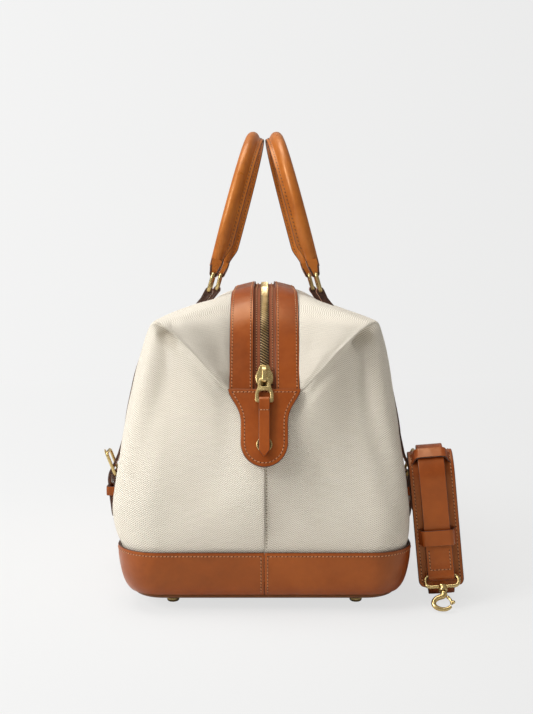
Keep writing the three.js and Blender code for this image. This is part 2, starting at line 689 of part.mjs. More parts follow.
function ringPoints() {
  const half = RING_HALF_WIDTH - RING_CORNER;
  const tall = RING_HEIGHT / 2 - RING_CORNER;
  const corners = [[half, tall, 0], [-half, tall, 90], [-half, -tall, 180], [half, -tall, 270]];
  return corners.flatMap(([x, z, from]) => steps(2).map((t) => {
    const q = turn2(RING_CORNER, THREE.MathUtils.degToRad(from + 90 * t));
    return new THREE.Vector3(x + q.x, 0, z + q.y + RING_HEIGHT / 2);
  }));
}

// Middle line of the half of a carry handle: distance along the bag and height.
const HANDLE_LINE = [[85, 322], [86.5, 335], [92, 365], [88, 405], [70, 440], [40, 460],
  [0, HANDLE_TOP_Z]];

const ringTop = new THREE.Vector2(
  RING_FOOT.x - RING_HEIGHT * Math.sin(RING_LEAN),
  RING_FOOT.y + RING_HEIGHT * Math.cos(RING_LEAN),
);

function handleCurve(side) {
  const half = HANDLE_LINE.map(([y, z]) => {
    const x = lerp(HANDLE_TOP_X, ringTop.x, (HANDLE_TOP_Z - z) / (HANDLE_TOP_Z - ringTop.y));
    return new THREE.Vector3(side * x, y, z);
  });
  const other = half.slice(0, -1).reverse().map((p) => new THREE.Vector3(p.x, -p.y, p.z));
  return new THREE.CatmullRomCurve3([...half, ...other], false, "centripetal");
}

// Rolled handle: a round roll with a stitched flange towards the middle of the bag, and at each
// end a fold of the same leather round the top bar of a ring.
function handleRings(side, parts, from, to, sectionAt) {
  const curve = handleCurve(side);
  const lean = Math.atan2(ringTop.x - HANDLE_TOP_X, HANDLE_TOP_Z - ringTop.y);
  const flange = new THREE.Vector3(-side * Math.cos(lean), 0, -Math.sin(lean));
  return steps(parts).map((t) => {
    const u = lerp(from, to, t);
    const p = curve.getPointAt(u);
    const along = curve.getTangentAt(u);
    const across = along.clone().cross(flange).normalize();
    return sectionAt(p).map((q) => p.clone().addScaledVector(flange, q.x).addScaledVector(across, q.y));
  });
}

function handleSection(p) {
  const reach = lerp(HANDLE_ROLL - 0.1, HANDLE_FLANGE, smooth(p.z, 330, 352));
  const root = Math.asin(1.8 / HANDLE_ROLL);
  const round = steps(9).map((t) => turn2(HANDLE_ROLL, lerp(root, 2 * Math.PI - root, t)));
  return [new THREE.Vector2(reach, 1.8), ...round, new THREE.Vector2(reach, -1.8)];
}

const circleSection = (radius, sides) => () =>
  Array.from({ length: sides }, (_, j) => turn2(radius, (2 * Math.PI * j) / sides));

const EYE_RADIUS = 3.5;

function handleEye() {
  const path = pathOf([-5.6, 15], [-5.4, 9.5],
    { centre: [0, 0], radius: EYE_RADIUS, from: 165, to: 375, parts: 10 }, [5.4, 9.5], [5.6, 15]);
  return ribbon(path, STRAP, 17);
}

// An eye of the handle, placed at the top bar of a ring.
function placedEye(side, y) {
  const lean = new THREE.Matrix4().makeRotationX(RING_LEAN);
  const spin = new THREE.Matrix4().makeRotationZ(side < 0 ? Math.PI / 2 : -Math.PI / 2);
  const eye = handleEye().applyMatrix4(lean).applyMatrix4(spin);
  return moved(eye, side * ringTop.x, y, ringTop.y);
}

const HANDLE_PARTS = 18;

function handle(side) {
  const section = handleSection(new THREE.Vector3(0, 0, HANDLE_TOP_Z));
  const roll = loft(handleRings(side, HANDLE_PARTS, 0, 1, handleSection), { section });
  const bore = loft(handleRings(side, HANDLE_PARTS, 0, 1, circleSection(HANDLE_BORE, 8)));
  const room = [-1, 1].map((end) => boreMouth(side, end * RING_Y));
  return biggest(cut(joined(roll, placedEye(side, -RING_Y), placedEye(side, RING_Y)), bore, ...room));
}

// Clears the bore's mouth, down to the ring's bar.
function boreMouth(side, y) {
  const mouth = cylinder(HANDLE_BORE, 9, 9).rotateX(Math.PI / 2).translate(0, 0, 6.6);
  const lean = new THREE.Matrix4().makeRotationY(side < 0 ? RING_LEAN : -RING_LEAN);
  return moved(mouth.applyMatrix4(lean), side * ringTop.x, y, ringTop.y);
}

function carry(side, name) {
  node(`handle_${name}`, handle(side), leather());
  const inset = 1 / HANDLE_PARTS;
  const coreSection = circleSection(HANDLE_CORE, 6);
  const core = loft(handleRings(side, HANDLE_PARTS - 2, inset, 1 - inset, coreSection));
  node(`handle_core_${name}`, core, cord());
  const out = [0, side, 0];
  pivot(`handle_${name}_hinge`, bag, [side * ringTop.x, -RING_Y, ringTop.y], out);
  for (const [end, y] of [["front", -RING_Y], ["back", RING_Y]]) {
    const group = sideGroup(side, y, RING_FOOT.x, RING_FOOT.y);
    const ring = wire(ringPoints(), RING_WIRE, { loop: true, sides: 7 });
    node(`ring_${end}_${name}`, ring, brass(), group).rotation.x = RING_LEAN;
    pivot(`ring_${end}_${name}_hinge`, bag, [side * RING_FOOT.x, y, RING_FOOT.y], out);
    sideStrap(side, y, `${end}_${name}`);
  }
}

// Strap buckle, in a frame whose Y stands out from the bag and whose Z is up; the heel bar is at
// (HEEL_OUT, 0).
const HEEL_OUT = 8;
const HEEL_BAR = 1.5;
const BUCKLE_HALF_WIDTH = 12.2;
const FRAME_TILT = THREE.MathUtils.degToRad(20.8);
const FRAME_HEIGHT = 25.5;
const FRAME_WIRE = 1.6;
const PRONG_WIDTH = 2.4;

const CHAPE_FOLD = { centre: [HEEL_OUT, 0], radius: 3.45, from: 180, to: 0, parts: 6 };

function chapePath(...start) {
  return pathOf(...start, [2.2, -30], [4.7, -23], [5, -12], [4.6, -5], CHAPE_FOLD, [9.6, -8], [9.4, -13]);
}

function notched(strap) {
  return cut(strap, moved(new THREE.BoxGeometry(5, 9, 11), 0, HEEL_OUT + 1, 1));
}

// Path of the strap through the buckle, from behind the frame's far bar to the tail's tip.
const BUCKLE_WAY = [[5, 22], [10, 11], [14.6, 2], [15.7, -5], [15, -13], [14.2, -22], [12.9, -32],
  [11.4, -46]];

function slotted(strap) {
  return cut(strap, moved(new THREE.BoxGeometry(4.6, 26, 23), 0, 14, 10.5));
}

function buckleFrame(halfWidth) {
  const corner = 3;
  const x = halfWidth - corner;
  const points = [new THREE.Vector3(-halfWidth, 0, 0)];
  for (const [side, from] of [[-1, 180], [1, 90]]) {
    for (const t of steps(3)) {
      const q = turn2(corner, THREE.MathUtils.degToRad(from - 90 * t));
      points.push(new THREE.Vector3(side * x + q.x, 0, FRAME_HEIGHT - corner + q.y));
    }
  }
  points.push(new THREE.Vector3(halfWidth, 0, 0));
  const heel = cylinder(HEEL_BAR, 2 * halfWidth, 8).rotateZ(Math.PI / 2);
  return joined(wire(points, FRAME_WIRE, { loop: true, sides: 6 }), heel);
}

// Prong: an eye round the heel bar and a tongue that rests on the far bar.
function prong() {
  const eye = new THREE.Shape().absarc(0, 0, 3.2, 0, 2 * Math.PI);
  eye.holes.push(new THREE.Path().absarc(0, 0, 1.9, 0, 2 * Math.PI, true));
  const solid = { depth: PRONG_WIDTH, bevelEnabled: false, curveSegments: 5 };
  const hoop = new THREE.ExtrudeGeometry(eye, solid);
  hoop.rotateY(Math.PI / 2).translate(-PRONG_WIDTH / 2, 0, 0);
  const way = pathOf([2.55, 0.4], [3.2, 8], [3.4, FRAME_HEIGHT], [2.6, FRAME_HEIGHT + 3.2]);
  return joined(hoop, ribbon(way, 1.7, PRONG_WIDTH));
}

function keeper(halfWidth, seat = 0) {
  const loop = frameLoop(halfWidth + 1.6, [2 + seat, 18.2], halfWidth, [3.5 + seat, 16.7], 10);
  return moved(loop, 0, 0, -22);
}

// Adds a buckle's frame and prong to a group that is set at the heel bar.
function buckle(group, name, halfWidth) {
  const hinge = groupAt(group, { y: HEEL_OUT });
  hinge.rotation.x = -FRAME_TILT;
  node(`buckle_${name}`, buckleFrame(halfWidth), brass(), hinge);
  node(`prong_${name}`, prong(), brass(), hinge);
  pivot(`buckle_${name}_hinge`, hinge, [0, 0, 0], [-1, 0, 0]);
  pivot(`prong_${name}_hinge`, hinge, [0, 0, 0], [-1, 0, 0]);
}

function sideStrap(side, y, name) {
  let v = 0.2;
  while (girth(side, y, v).y < BUCKLE_Z) v += 0.005;
  const face = girth(side, y, v).x;
  const local = sideGroup(side, y, face, BUCKLE_Z);
  const toLocal = (p) => [p.x - face, p.y - BUCKLE_Z];
  const under = alongGirth(side, y, 1.38, 1.56, 2.4, 3).map(toLocal);
  const over = alongGirth(side, y, 1.52, 0.34, 5, 14).map(toLocal).map(([o, h], i, all) => {
    const settle = smooth(i / (all.length - 1), 0.2, 0.4) * 2.4;
    const before = all[Math.max(i - 1, 0)];
    const after = all[Math.min(i + 1, all.length - 1)];
    const way = new THREE.Vector2(after[0] - before[0], after[1] - before[1]).normalize();
    return [o + way.y * settle, h - way.x * settle];
  });
  const bar = [RING_FOOT.x - face, RING_FOOT.y - BUCKLE_Z];
  const fold = { centre: bar, radius: 3.45, from: 245, to: 60, parts: 8 };
  const path = pathOf(...under, fold, ...over, ...BUCKLE_WAY);
  node(`side_strap_${name}`, slotted(ribbon(path, STRAP, STRAP_WIDTH)), leather(), local);
  node(`chape_${name}`, notched(ribbon(chapePath([1.9, -42]), STRAP, STRAP_WIDTH)), leather(), local);
  node(`keeper_${name}`, keeper(STRAP_WIDTH / 2 + 0.4), leather(), local);
  buckle(local, name, BUCKLE_HALF_WIDTH);
}

// ---------------------------------------------------------------- shoulder strap
const COIL_MIDDLE = 28;
const COIL_TOP = 121;
const HOOK_A = { y: -0.2, z: 28, tilt: -Math.PI / 4 };
const HOOK_B = { y: 32.6, z: 84, tilt: 0 };

// A length of strap folded round a hook's bail: the return layer, the fold and the way out.
const BAIL_FOLD = { radius: 3.3, from: 35, to: -215, parts: 9 };

function strapLong() {
  const path = pathOf([1.3, 56], [1.35, 40],
    { ...BAIL_FOLD, centre: [HOOK_A.y, HOOK_A.z] },
    [-1.6, 40], [-1.5, 54], [0, 66], [0, 97],
    { centre: [COIL_MIDDLE, COIL_TOP], radius: COIL_MIDDLE, from: 180, to: 0, parts: 14 }, [56, 101]);
  const top = BACK_BUCKLE.z;
  const chape = chapePath([1.7, -42]).map((p) => new THREE.Vector2(BACK_BUCKLE.y + p.x, top - p.y));
  const strap = ribbon([...path, ...chape], SHOULDER, SHOULDER_WIDTH);
  const notch = moved(new THREE.BoxGeometry(5, 9, 11), 0, BACK_BUCKLE.y + HEEL_OUT + 1, top - 1);
  const sewn = keeper(SHOULDER_WIDTH / 2 + 0.5, 0.6).rotateY(Math.PI);
  return joined(cut(strap, notch), moved(sewn, 0, BACK_BUCKLE.y, top));
}

const BACK_BUCKLE = { y: 54.3, z: 58 };

function strapShort() {
  const way = [...BUCKLE_WAY].reverse().slice(0, -1);
  const through = way.map(([o, h]) => [BACK_BUCKLE.y + o, BACK_BUCKLE.z - h]);
  const path = pathOf(...through,
    { centre: [33.75, 25], radius: 22.25, from: 0, to: -180, parts: 12 },
    { centre: [COIL_MIDDLE, COIL_TOP], radius: 16.5, from: 180, to: 0, parts: 9 },
    { centre: [30.75, 37], radius: 13.75, from: 0, to: -180, parts: 9 },
    { centre: [26, 118], radius: 8, from: 180, to: 0, parts: 7 },
    [34, 100], { ...BAIL_FOLD, centre: [HOOK_B.y, HOOK_B.z] }, [31.2, 98], [31.2, 108]);
  const strap = ribbon(path, SHOULDER, SHOULDER_WIDTH);
  const slot = moved(new THREE.BoxGeometry(4.6, 26, 23), 0, BACK_BUCKLE.y + 14, BACK_BUCKLE.z - 10.5);
  return cut(strap, slot);
}

// Shoulder pad with the two sewn bridges that hold it on the strap.
function pad() {
  const y = 6.6;
  const [front, back] = [16, 78];
  const path = pathOf([y, front], [y, 60], [y, 97],
    { centre: [COIL_MIDDLE, COIL_TOP], radius: COIL_MIDDLE - y, from: 180, to: 0, parts: 14 },
    [2 * COIL_MIDDLE - y, back]);
  const total = 2 * COIL_TOP - front - back + Math.PI * (COIL_MIDDLE - y);
  const width = (run) => (run < 4 || run > total - 4 ? PAD_WIDTH - 8 : PAD_WIDTH);
  const inner = SHOULDER_WIDTH / 2 + 0.5;
  const lower = frameLoop(inner + 1.6, [-4.8, y - 1], inner, [-3.2, y - 2.2], 15).translate(0, 0, 58);
  const upper = frameLoop(inner + 1.6, [-3.6, y - 1], inner, [-1.8, y - 2.2], 12);
  upper.translate(0, -COIL_MIDDLE, -6);
  upper.rotateX(THREE.MathUtils.degToRad(-52)).translate(0, COIL_MIDDLE, COIL_TOP);
  return joined(ribbon(path, PAD, width), lower, upper);
}

const BAIL_HALF = 15.5;
const BAIL_DROP = 11;
const BAIL_WIRE = 1.8;

// Bail: a wide wire loop with a round boss that the hook turns in. Its bar is on the X axis and it
// hangs along -Z.
function bail() {
  const corner = 4;
  const x = BAIL_HALF - corner;
  const spots = [
    [x, -corner, 0],
    [-x, -corner, 90],
    [-x, -BAIL_DROP + corner, 180],
    [x, -BAIL_DROP + corner, 270],
  ];
  const points = spots.flatMap(([cx, cz, from]) => steps(3).map((t) => {
    const q = turn2(corner, THREE.MathUtils.degToRad(from + 90 * t));
    return new THREE.Vector3(cx + q.x, 0, cz + q.y);
  }));
  const loop = wire(points, BAIL_WIRE, { loop: true, sides: 7 });
  const boss = cylinder(4.2, 6, 10).rotateX(Math.PI / 2).translate(0, 0, -BAIL_DROP - 2.4);
  const bore = cylinder(1.7, 20, 8).rotateX(Math.PI / 2).translate(0, 0, -BAIL_DROP - 9);
  return cut(joined(loop, boss), bore);
}

const HOOK_CENTRE = -28;
const HOOK_RADIUS = 6.6;
const HOOK_WIRE = 1.8;
const GATE_FROM = 56;

// Snap hook under the boss: a stem and a hook of round wire, open on its +X side.
function hook() {
  const stem = cylinder(2.8, 3.2, 10).rotateX(Math.PI / 2).translate(0, 0, -BAIL_DROP - 7.5);
  const pin = cylinder(1.3, 7, 8).rotateX(Math.PI / 2).translate(0, 0, -BAIL_DROP - 5.5);
  const angles = steps(10).map((t) => THREE.MathUtils.degToRad(lerp(92, 325, t)));
  const points = angles.map((angle) => {
    const q = turn2(HOOK_RADIUS, angle);
    return new THREE.Vector3(q.x, 0, HOOK_CENTRE + q.y);
  });
  points.unshift(new THREE.Vector3(0, 0, HOOK_CENTRE + HOOK_RADIUS + 1.5));
  return joined(stem, pin, wire(points, HOOK_WIRE, { sides: 7 }));
}

// Gate: a short bar with a ball for the thumb, hinged beside the stem.
function gate() {
  const at = (degrees, radius = HOOK_RADIUS) => {
    const a = THREE.MathUtils.degToRad(degrees);
    return new THREE.Vector3(radius * Math.cos(a), 0, HOOK_CENTRE + radius * Math.sin(a));
  };
  const bar = wire([at(GATE_FROM), at(30), at(0), at(-16)], 1.3, { sides: 6 });
  const ball = new THREE.SphereGeometry(1.6, 8, 6);
  const spot = at(2, HOOK_RADIUS + 1.6);
  return joined(bar, moved(ball, spot.x, 0, spot.z));
}

function snapHook(parent, name, { y, z, tilt }) {
  const hanger = groupAt(parent, { y, z });
  hanger.rotation.x = tilt;
  node(`bail_${name}`, bail(), brass(), hanger);
  node(`hook_${name}`, hook(), brass(), hanger);
  node(`gate_${name}`, gate(), brass(), hanger);
  const a = THREE.MathUtils.degToRad(GATE_FROM);
  const root = [HOOK_RADIUS * Math.cos(a), 0, HOOK_CENTRE + HOOK_RADIUS * Math.sin(a)];
  pivot(`bail_${name}_hinge`, hanger, [0, 0, 0], [-1, 0, 0]);
  pivot(`hook_${name}_swivel`, hanger, [0, 0, -BAIL_DROP], [0, 0, 1]);
  pivot(`gate_${name}_hinge`, hanger, root, [0, 1, 0]);
}

function shoulderStrap() {
  const coil = groupAt(bag, COIL_PLACE);
  coil.rotation.order = "ZYX";
  coil.rotation.z = COIL_TURN;
  coil.rotation.y = COIL_LEAN;
  node("shoulder_strap_long", strapLong(), leather(), coil);
  node("shoulder_strap_short", strapShort(), leather(), coil);
  node("shoulder_pad", pad(), leather(), coil);
  pivot("shoulder_strap_slide", bag, [0, 0, 0], [1, 0, 0]);
  const back = groupAt(coil, { y: BACK_BUCKLE.y, z: BACK_BUCKLE.z });
  back.rotation.y = Math.PI;
  buckle(back, "shoulder", SHOULDER_WIDTH / 2 + 2.5);
  snapHook(coil, "a", HOOK_A);
  snapHook(coil, "b", HOOK_B);
}

base();
zip();
body();
carry(-1, "left");
carry(1, "right");
shoulderStrap();

whole.updateMatrixWorld(true);

// Each joint's point (metres) and unit axis in the frame of the whole.
export const joints = pivots.map(({ joint, group, point, axis }) => ({
  joint,
  pos_m: point.clone().applyMatrix4(group.matrixWorld).multiplyScalar(0.001).toArray(),
  axis: axis.clone().transformDirection(group.matrixWorld).toArray(),
}));

export default whole;
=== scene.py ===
import json
import math

import bmesh
import bpy
import numpy as np
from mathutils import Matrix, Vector


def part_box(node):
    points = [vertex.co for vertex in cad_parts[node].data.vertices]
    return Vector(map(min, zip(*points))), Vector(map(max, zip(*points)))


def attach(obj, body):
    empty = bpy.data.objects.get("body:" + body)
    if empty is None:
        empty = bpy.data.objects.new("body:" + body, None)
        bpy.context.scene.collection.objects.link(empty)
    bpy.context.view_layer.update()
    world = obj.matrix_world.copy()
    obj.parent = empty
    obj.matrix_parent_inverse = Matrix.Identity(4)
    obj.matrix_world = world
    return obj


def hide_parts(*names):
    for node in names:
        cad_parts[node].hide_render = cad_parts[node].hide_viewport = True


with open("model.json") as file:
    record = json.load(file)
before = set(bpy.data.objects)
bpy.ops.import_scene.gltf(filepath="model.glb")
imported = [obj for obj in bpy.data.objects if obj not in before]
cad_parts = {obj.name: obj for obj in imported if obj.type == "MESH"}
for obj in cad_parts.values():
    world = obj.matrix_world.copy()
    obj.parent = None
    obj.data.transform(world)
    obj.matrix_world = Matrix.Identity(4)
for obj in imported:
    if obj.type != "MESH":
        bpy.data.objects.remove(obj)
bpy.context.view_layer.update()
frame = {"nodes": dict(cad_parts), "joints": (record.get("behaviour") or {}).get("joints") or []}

# Lengths in this script are millimetres from the middle of the bag: X across it, Y along it (zip
# pull at -Y), Z up from the floor. MM turns them into Blender's metres, and BAG_X carries them to
# the frame's origin, which lies under the middle of everything.
MM = 0.001
BAG_X = sum(corner[0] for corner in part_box("base_panel")) / 2 / MM
TO_FRAME = np.array([BAG_X, 0.0, 0.0])


def box_mm(node):
    """Corners of a CAD node's box in this script's millimetres."""
    low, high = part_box(node)
    return np.array(low) / MM - TO_FRAME, np.array(high) / MM - TO_FRAME


# ------------------------------------------------------------------ dimensions
band_low, band_high = box_mm("base_band_right")
strip_low, strip_high = box_mm("zip_strip_right")
chape_low, chape_high = box_mm("chape_front_left")

# Base: half its width and length, the heights of the band's edges, and the corners' radius.
BASE_A, BASE_B, BAND_TOP = band_high
BAND_FOOT = band_low[2]
BASE_R = 42.0

# Thickness of the leather round the bag and of its straps, and the air between two layers.
LEATHER = 2.6
STRAP = 2.2
GAP = 0.4
STRIP_OUTER = strip_high[0]
STRIP_INNER = strip_low[0]
STRAP_WIDTH = chape_high[1] - chape_low[1]
RING_Y = 85.0

# Zip line: a crowned crest, a bend, and a straight slope down each end of the bag. The roof falls
# away from it to both sides.
CREST_RUN = 118.0
CREST_CROWN = 4.0
CREST_Z = strip_high[2] - CREST_CROWN
BEND_R = 80.0
SLOPE = math.radians(64.2)
SLOPE_RUN = CREST_RUN + BEND_R * SLOPE
SLOPE_Y = CREST_RUN + BEND_R * math.sin(SLOPE)
SLOPE_Z = CREST_Z - BEND_R * (1 - math.cos(SLOPE))
ROOF_TILT = math.tan(math.radians(14))

# Down a slope: where the strips end, and where the leather tab begins and ends.
STRIP_END = 61.0
TAB_TOP = 57.5
TAB_FOOT = 130.6
TAB_THICK = 2.4


def joint_point(name):
    """A joint's point in millimetres."""
    place = next(j["pos_m"] for j in frame["joints"] if j["name"] == name)
    return np.array(place) / MM - TO_FRAME


# ------------------------------------------------------------------ parts: (vertices, faces, slots)
def loft(rings, closed=False, slots=None, cap_slot=0):
    """Skin over rings of points (n, m, 3). slots gives the material of each side face of a ring."""
    n, m = rings.shape[:2]
    spans = n if closed else n - 1
    i, j = np.meshgrid(np.arange(spans), np.arange(m), indexing="ij")
    k = (i + 1) % n
    quads = np.stack([i * m + j, k * m + j, k * m + (j + 1) % m, i * m + (j + 1) % m], -1)
    faces = quads.reshape(-1, 4).tolist()
    marks = np.tile(np.zeros(m, int) if slots is None else np.asarray(slots, int), spans).tolist()
    if not closed:
        faces += [list(range(m))[::-1], [(n - 1) * m + q for q in range(m)]]
        marks += [cap_slot, cap_slot]
    return rings.reshape(-1, 3), faces, marks


def merge(*parts):
    """One part from several."""
    verts, faces, marks, start = [], [], [], 0
    for v, f, s in parts:
        verts.append(v)
        faces += [[q + start for q in face] for face in f]
        marks += s
        start += len(v)
    return np.concatenate(verts), faces, marks


def placed(part, matrix):
    """A part moved by a matrix."""
    v = np.asarray(part[0])
    return v @ matrix[:3, :3].T + matrix[:3, 3], part[1], part[2]


def grid_quads(n, m):
    """Faces of an open grid of n rows and m columns."""
    i, j = np.meshgrid(np.arange(n - 1), np.arange(m - 1), indexing="ij")
    return np.stack([i * m + j, (i + 1) * m + j, (i + 1) * m + j + 1, i * m + j + 1], -1).reshape(-1, 4)


def recoloured(part, slot):
    """A part whose faces all have one material slot."""
    return part[0], part[1], [slot] * len(part[1])


def shift(x=0.0, y=0.0, z=0.0):
    m = np.eye(4)
    m[:3, 3] = x, y, z
    return m


def turn(axis, angle):
    m = np.eye(4)
    a, b = {"x": (1, 2), "y": (2, 0), "z": (0, 1)}[axis]
    m[a, a] = m[b, b] = math.cos(angle)
    m[a, b] = -math.sin(angle)
    m[b, a] = math.sin(angle)
    return m


def linked(name, data):
    """New object in the scene for a mesh, curve, light or camera."""
    obj = bpy.data.objects.new(name, data)
    bpy.context.scene.collection.objects.link(obj)
    return obj


def piece(name, body, part, materials, replaces=(), sharp=38, uv=None):
    """One Blender object from a part in millimetres. It rides on a CAD body."""
    verts, faces, marks = part
    mesh = bpy.data.meshes.new(name)
    mesh.from_pydata(((np.asarray(verts, float) + TO_FRAME) * MM).tolist(), [], faces)
    mesh.polygons.foreach_set("material_index", marks)
    if uv is not None:
        layer = mesh.uv_layers.new(name="cloth")
        index = np.zeros(len(mesh.loops), np.int32)
        mesh.loops.foreach_get("vertex_index", index)
        layer.data.foreach_set("uv", uv[index].astype(np.float32).ravel())
    bm = bmesh.new()
    bm.from_mesh(mesh)
    bmesh.ops.recalc_face_normals(bm, faces=bm.faces)
    bm.to_mesh(mesh)
    bm.free()
    mesh.shade_smooth()
    mesh.set_sharp_from_angle(angle=math.radians(sharp))
    for material in materials:
        mesh.materials.append(material)
    obj = linked(name, mesh)
    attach(obj, body)
    if replaces:
        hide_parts(*replaces)


def leather_piece(name, body, part, node):
    """Tan leather with painted edges in place of one CAD node."""
    piece(name, body, part, [LEATHER_TAN, EDGE], [node])


def thread_piece(name, body, rows, matrix=np.eye(4)):
    """Stitch rows on leather. They replace no CAD node."""
    piece(name, body, placed(merge(*rows), matrix), [THREAD, HOLE_SHADE])


def brass_piece(node, part, matrix, body=None):
    """Brass look of one CAD node; a moving node rides on the body of its own name."""
    piece(f"{node}_brass", body or node, placed(part, matrix), [BRASS], [node])


# ------------------------------------------------------------------ curves, sections and sweeps
def unit(v):
    return v / np.maximum(np.linalg.norm(v, axis=-1, keepdims=True), 1e-9)


def run_along(points):
    """Distance along a polyline at each of its points."""
    return np.concatenate([[0], np.cumsum(np.linalg.norm(np.diff(points, axis=0), axis=1))])


def at_runs(where, run, points):
    """Points of a polyline at given distances along it."""
    return np.stack([np.interp(where, run, points[:, k]) for k in range(points.shape[1])], 1)


def resample(points, step):
    """Evenly spaced points along a polyline."""
    points = np.asarray(points, float)
    run = run_along(points)
    count = max(int(round(run[-1] / step)), 2)
    return at_runs(np.linspace(0, run[-1], count + 1), run, points)


def relax(points, times):
    """Smooths a polyline, keeping its ends."""
    p = points.copy()
    for _ in range(times):
        p[1:-1] = p[1:-1] * 0.5 + (p[:-2] + p[2:]) * 0.25
    return p


def smooth(points, step, times):
    """Evenly spaced points along a polyline whose corners are eased."""
    return relax(resample(points, step), times)


def bezier(a, b, c, d, t):
    """Cubic curve from a to d with handles b and c."""
    return a * (1 - t) ** 3 + 3 * b * t * (1 - t) ** 2 + 3 * c * t**2 * (1 - t) + d * t**3


def through(p0, p1, p2, p3, t):
    """Catmull-Rom curve from p1 to p2."""
    square = (2 * p0 - 5 * p1 + 4 * p2 - p3) * t**2
    cube = (3 * p1 - p0 - 3 * p2 + p3) * t**3
    return 0.5 * (2 * p1 + (p2 - p0) * t + square + cube)


def arc(cx, cy, radius, start, end, parts=16):
    """Points on an arc; its angles are in degrees."""
    a = np.radians(np.linspace(start, end, parts + 1))
    return np.stack([cx + radius * np.cos(a), cy + radius * np.sin(a)], 1)


def path(*bits):
    """Polyline from lists of points and arcs."""
    return np.concatenate([np.atleast_2d(np.asarray(b, float)) for b in bits])


def both_sides(half):
    """Closed outline from its half at +X, which starts and ends on the middle line."""
    return path(half, (half * [-1, 1])[::-1][1:-1])


def in_plane(way):
    """Points (y, z) in the plane X = 0."""
    return np.column_stack([np.zeros(len(way)), way])


def upright(points):
    """Points (x, z) in the plane Y = 0."""
    return np.column_stack([points[:, 0], np.zeros(len(points)), points[:, 1]])


# Corners of a rectangle in the order of an outline: side of X, side of Y, first angle of the arc.
CORNERS = ((1, 1, 0), (-1, 1, 90), (-1, -1, 180), (1, -1, 270))
# Share of an edge's rounding past which a side face counts as painted edge.
PAINT_FROM = 0.45
# How far a pressed crease lies from a strap's edge, and half of its width.
GROOVE_IN = 1.7
GROOVE_HALF = 0.5


def rounded(half_w, half_t, radius=0.8, crown=0.0, groove=0.0, flat=10):
    """Cross-section of a strap: points (x, o) and a slot per side face, 1 on the painted edges.
    crown swells the outer face; groove presses a crease along both edges of it."""
    radius = min(radius, half_t * 0.95)
    inner = half_w - radius
    xs = np.linspace(-1, 1, flat + 1)[1:-1]
    points = []
    for cx, cy, start in CORNERS:
        points.append(arc(cx * inner, cy * (half_t - radius), radius, start, start + 90, 4))
        if start == 0:
            x = -xs * inner
            creased = np.abs(np.abs(x) - half_w + GROOVE_IN) < GROOVE_HALF
            lift = crown * (1 - xs**2) - groove * creased
            points.append(np.stack([x, half_t + lift], 1))
        if start == 180:
            points.append(np.stack([xs * inner, np.full(len(xs), -half_t)], 1))
    section = np.concatenate(points)
    middle = (section[:, 0] + np.roll(section[:, 0], -1)) / 2
    return section, (np.abs(middle) > inner + radius * PAINT_FROM).astype(int)


def frames_of(points, side):
    """Side directions and outward normals along a polyline in space."""
    side = np.broadcast_to(np.asarray(side, float), points.shape)
    t = unit(np.gradient(points, axis=0))
    s = unit(side - (side * t).sum(-1, keepdims=True) * t)
    return s, np.cross(s, t)


def strap(points, side, section, slots, widths=None):
    """Flat strap along points (n, 3) whose width lies along side."""
    s, normal = frames_of(points, side)
    w = np.ones(len(points)) if widths is None else widths
    x = section[None, :, 0] * w[:, None]
    rings = points[:, None] + s[:, None] * x[..., None] + normal[:, None] * section[None, :, 1, None]
    return loft(rings, slots=slots, cap_slot=1)


def circle(sides):
    """Evenly spaced angles round a full turn."""
    return np.linspace(0, 2 * math.pi, sides, endpoint=False)


def loop_tangents(points):
    return unit(np.roll(points, -1, 0) - np.roll(points, 1, 0))


def tube(points, radius, sides, closed=False):
    """Round wire; radius may be an array with one value per point."""
    t = loop_tangents(points) if closed else unit(np.gradient(points, axis=0))
    side = np.array([1.0, 0, 0]) if abs(t[0][0]) < 0.9 else np.array([0, 1.0, 0])
    side_list = []
    for along in t:
        side = unit(side - side.dot(along) * along)
        side_list.append(side)
    s = np.array(side_list)
    up = np.cross(t, s)
    a = circle(sides)
    r = np.broadcast_to(np.asarray(radius, float), (len(points),))[:, None, None]
    ring = s[:, None] * np.cos(a)[None, :, None] + up[:, None] * np.sin(a)[None, :, None]
    return loft(points[:, None] + ring * r, closed=closed)


def wire_loop(points, step, radius, sides):
    """Closed wire through points (n, 3)."""
    return tube(resample_loop(points, step), radius, sides, closed=True)


def resample_loop(points, step):
    """Evenly spaced points round a closed polyline."""
    return resample(np.vstack([points, points[:1]]), step)[:-1]


def lathe(profile, sides):
    """Turned body about the Z axis; the profile holds (r, z) points."""
    profile = np.asarray(profile, float)
    a = circle(sides)
    r = np.maximum(profile[:, 0], 0.02)
    rings = np.stack([r[:, None] * np.cos(a), r[:, None] * np.sin(a),
                      np.broadcast_to(profile[:, 1:], (len(r), sides))], -1)
    return loft(rings)


def ball(radius, centre):
    a = np.radians(np.linspace(-88, 88, 9))
    profile = np.stack([radius * np.cos(a), radius * np.sin(a)], 1)
    return placed(lathe(profile, 14), shift(*centre))


def stack(outline_at, levels):
    """Body from closed outlines (m, 2) at heights: levels holds (inset, z) pairs."""
    rings = []
    for inset, z in levels:
        p = outline_at(inset)
        rings.append(np.column_stack([p, np.full(len(p), z)]))
    return loft(np.array(rings))


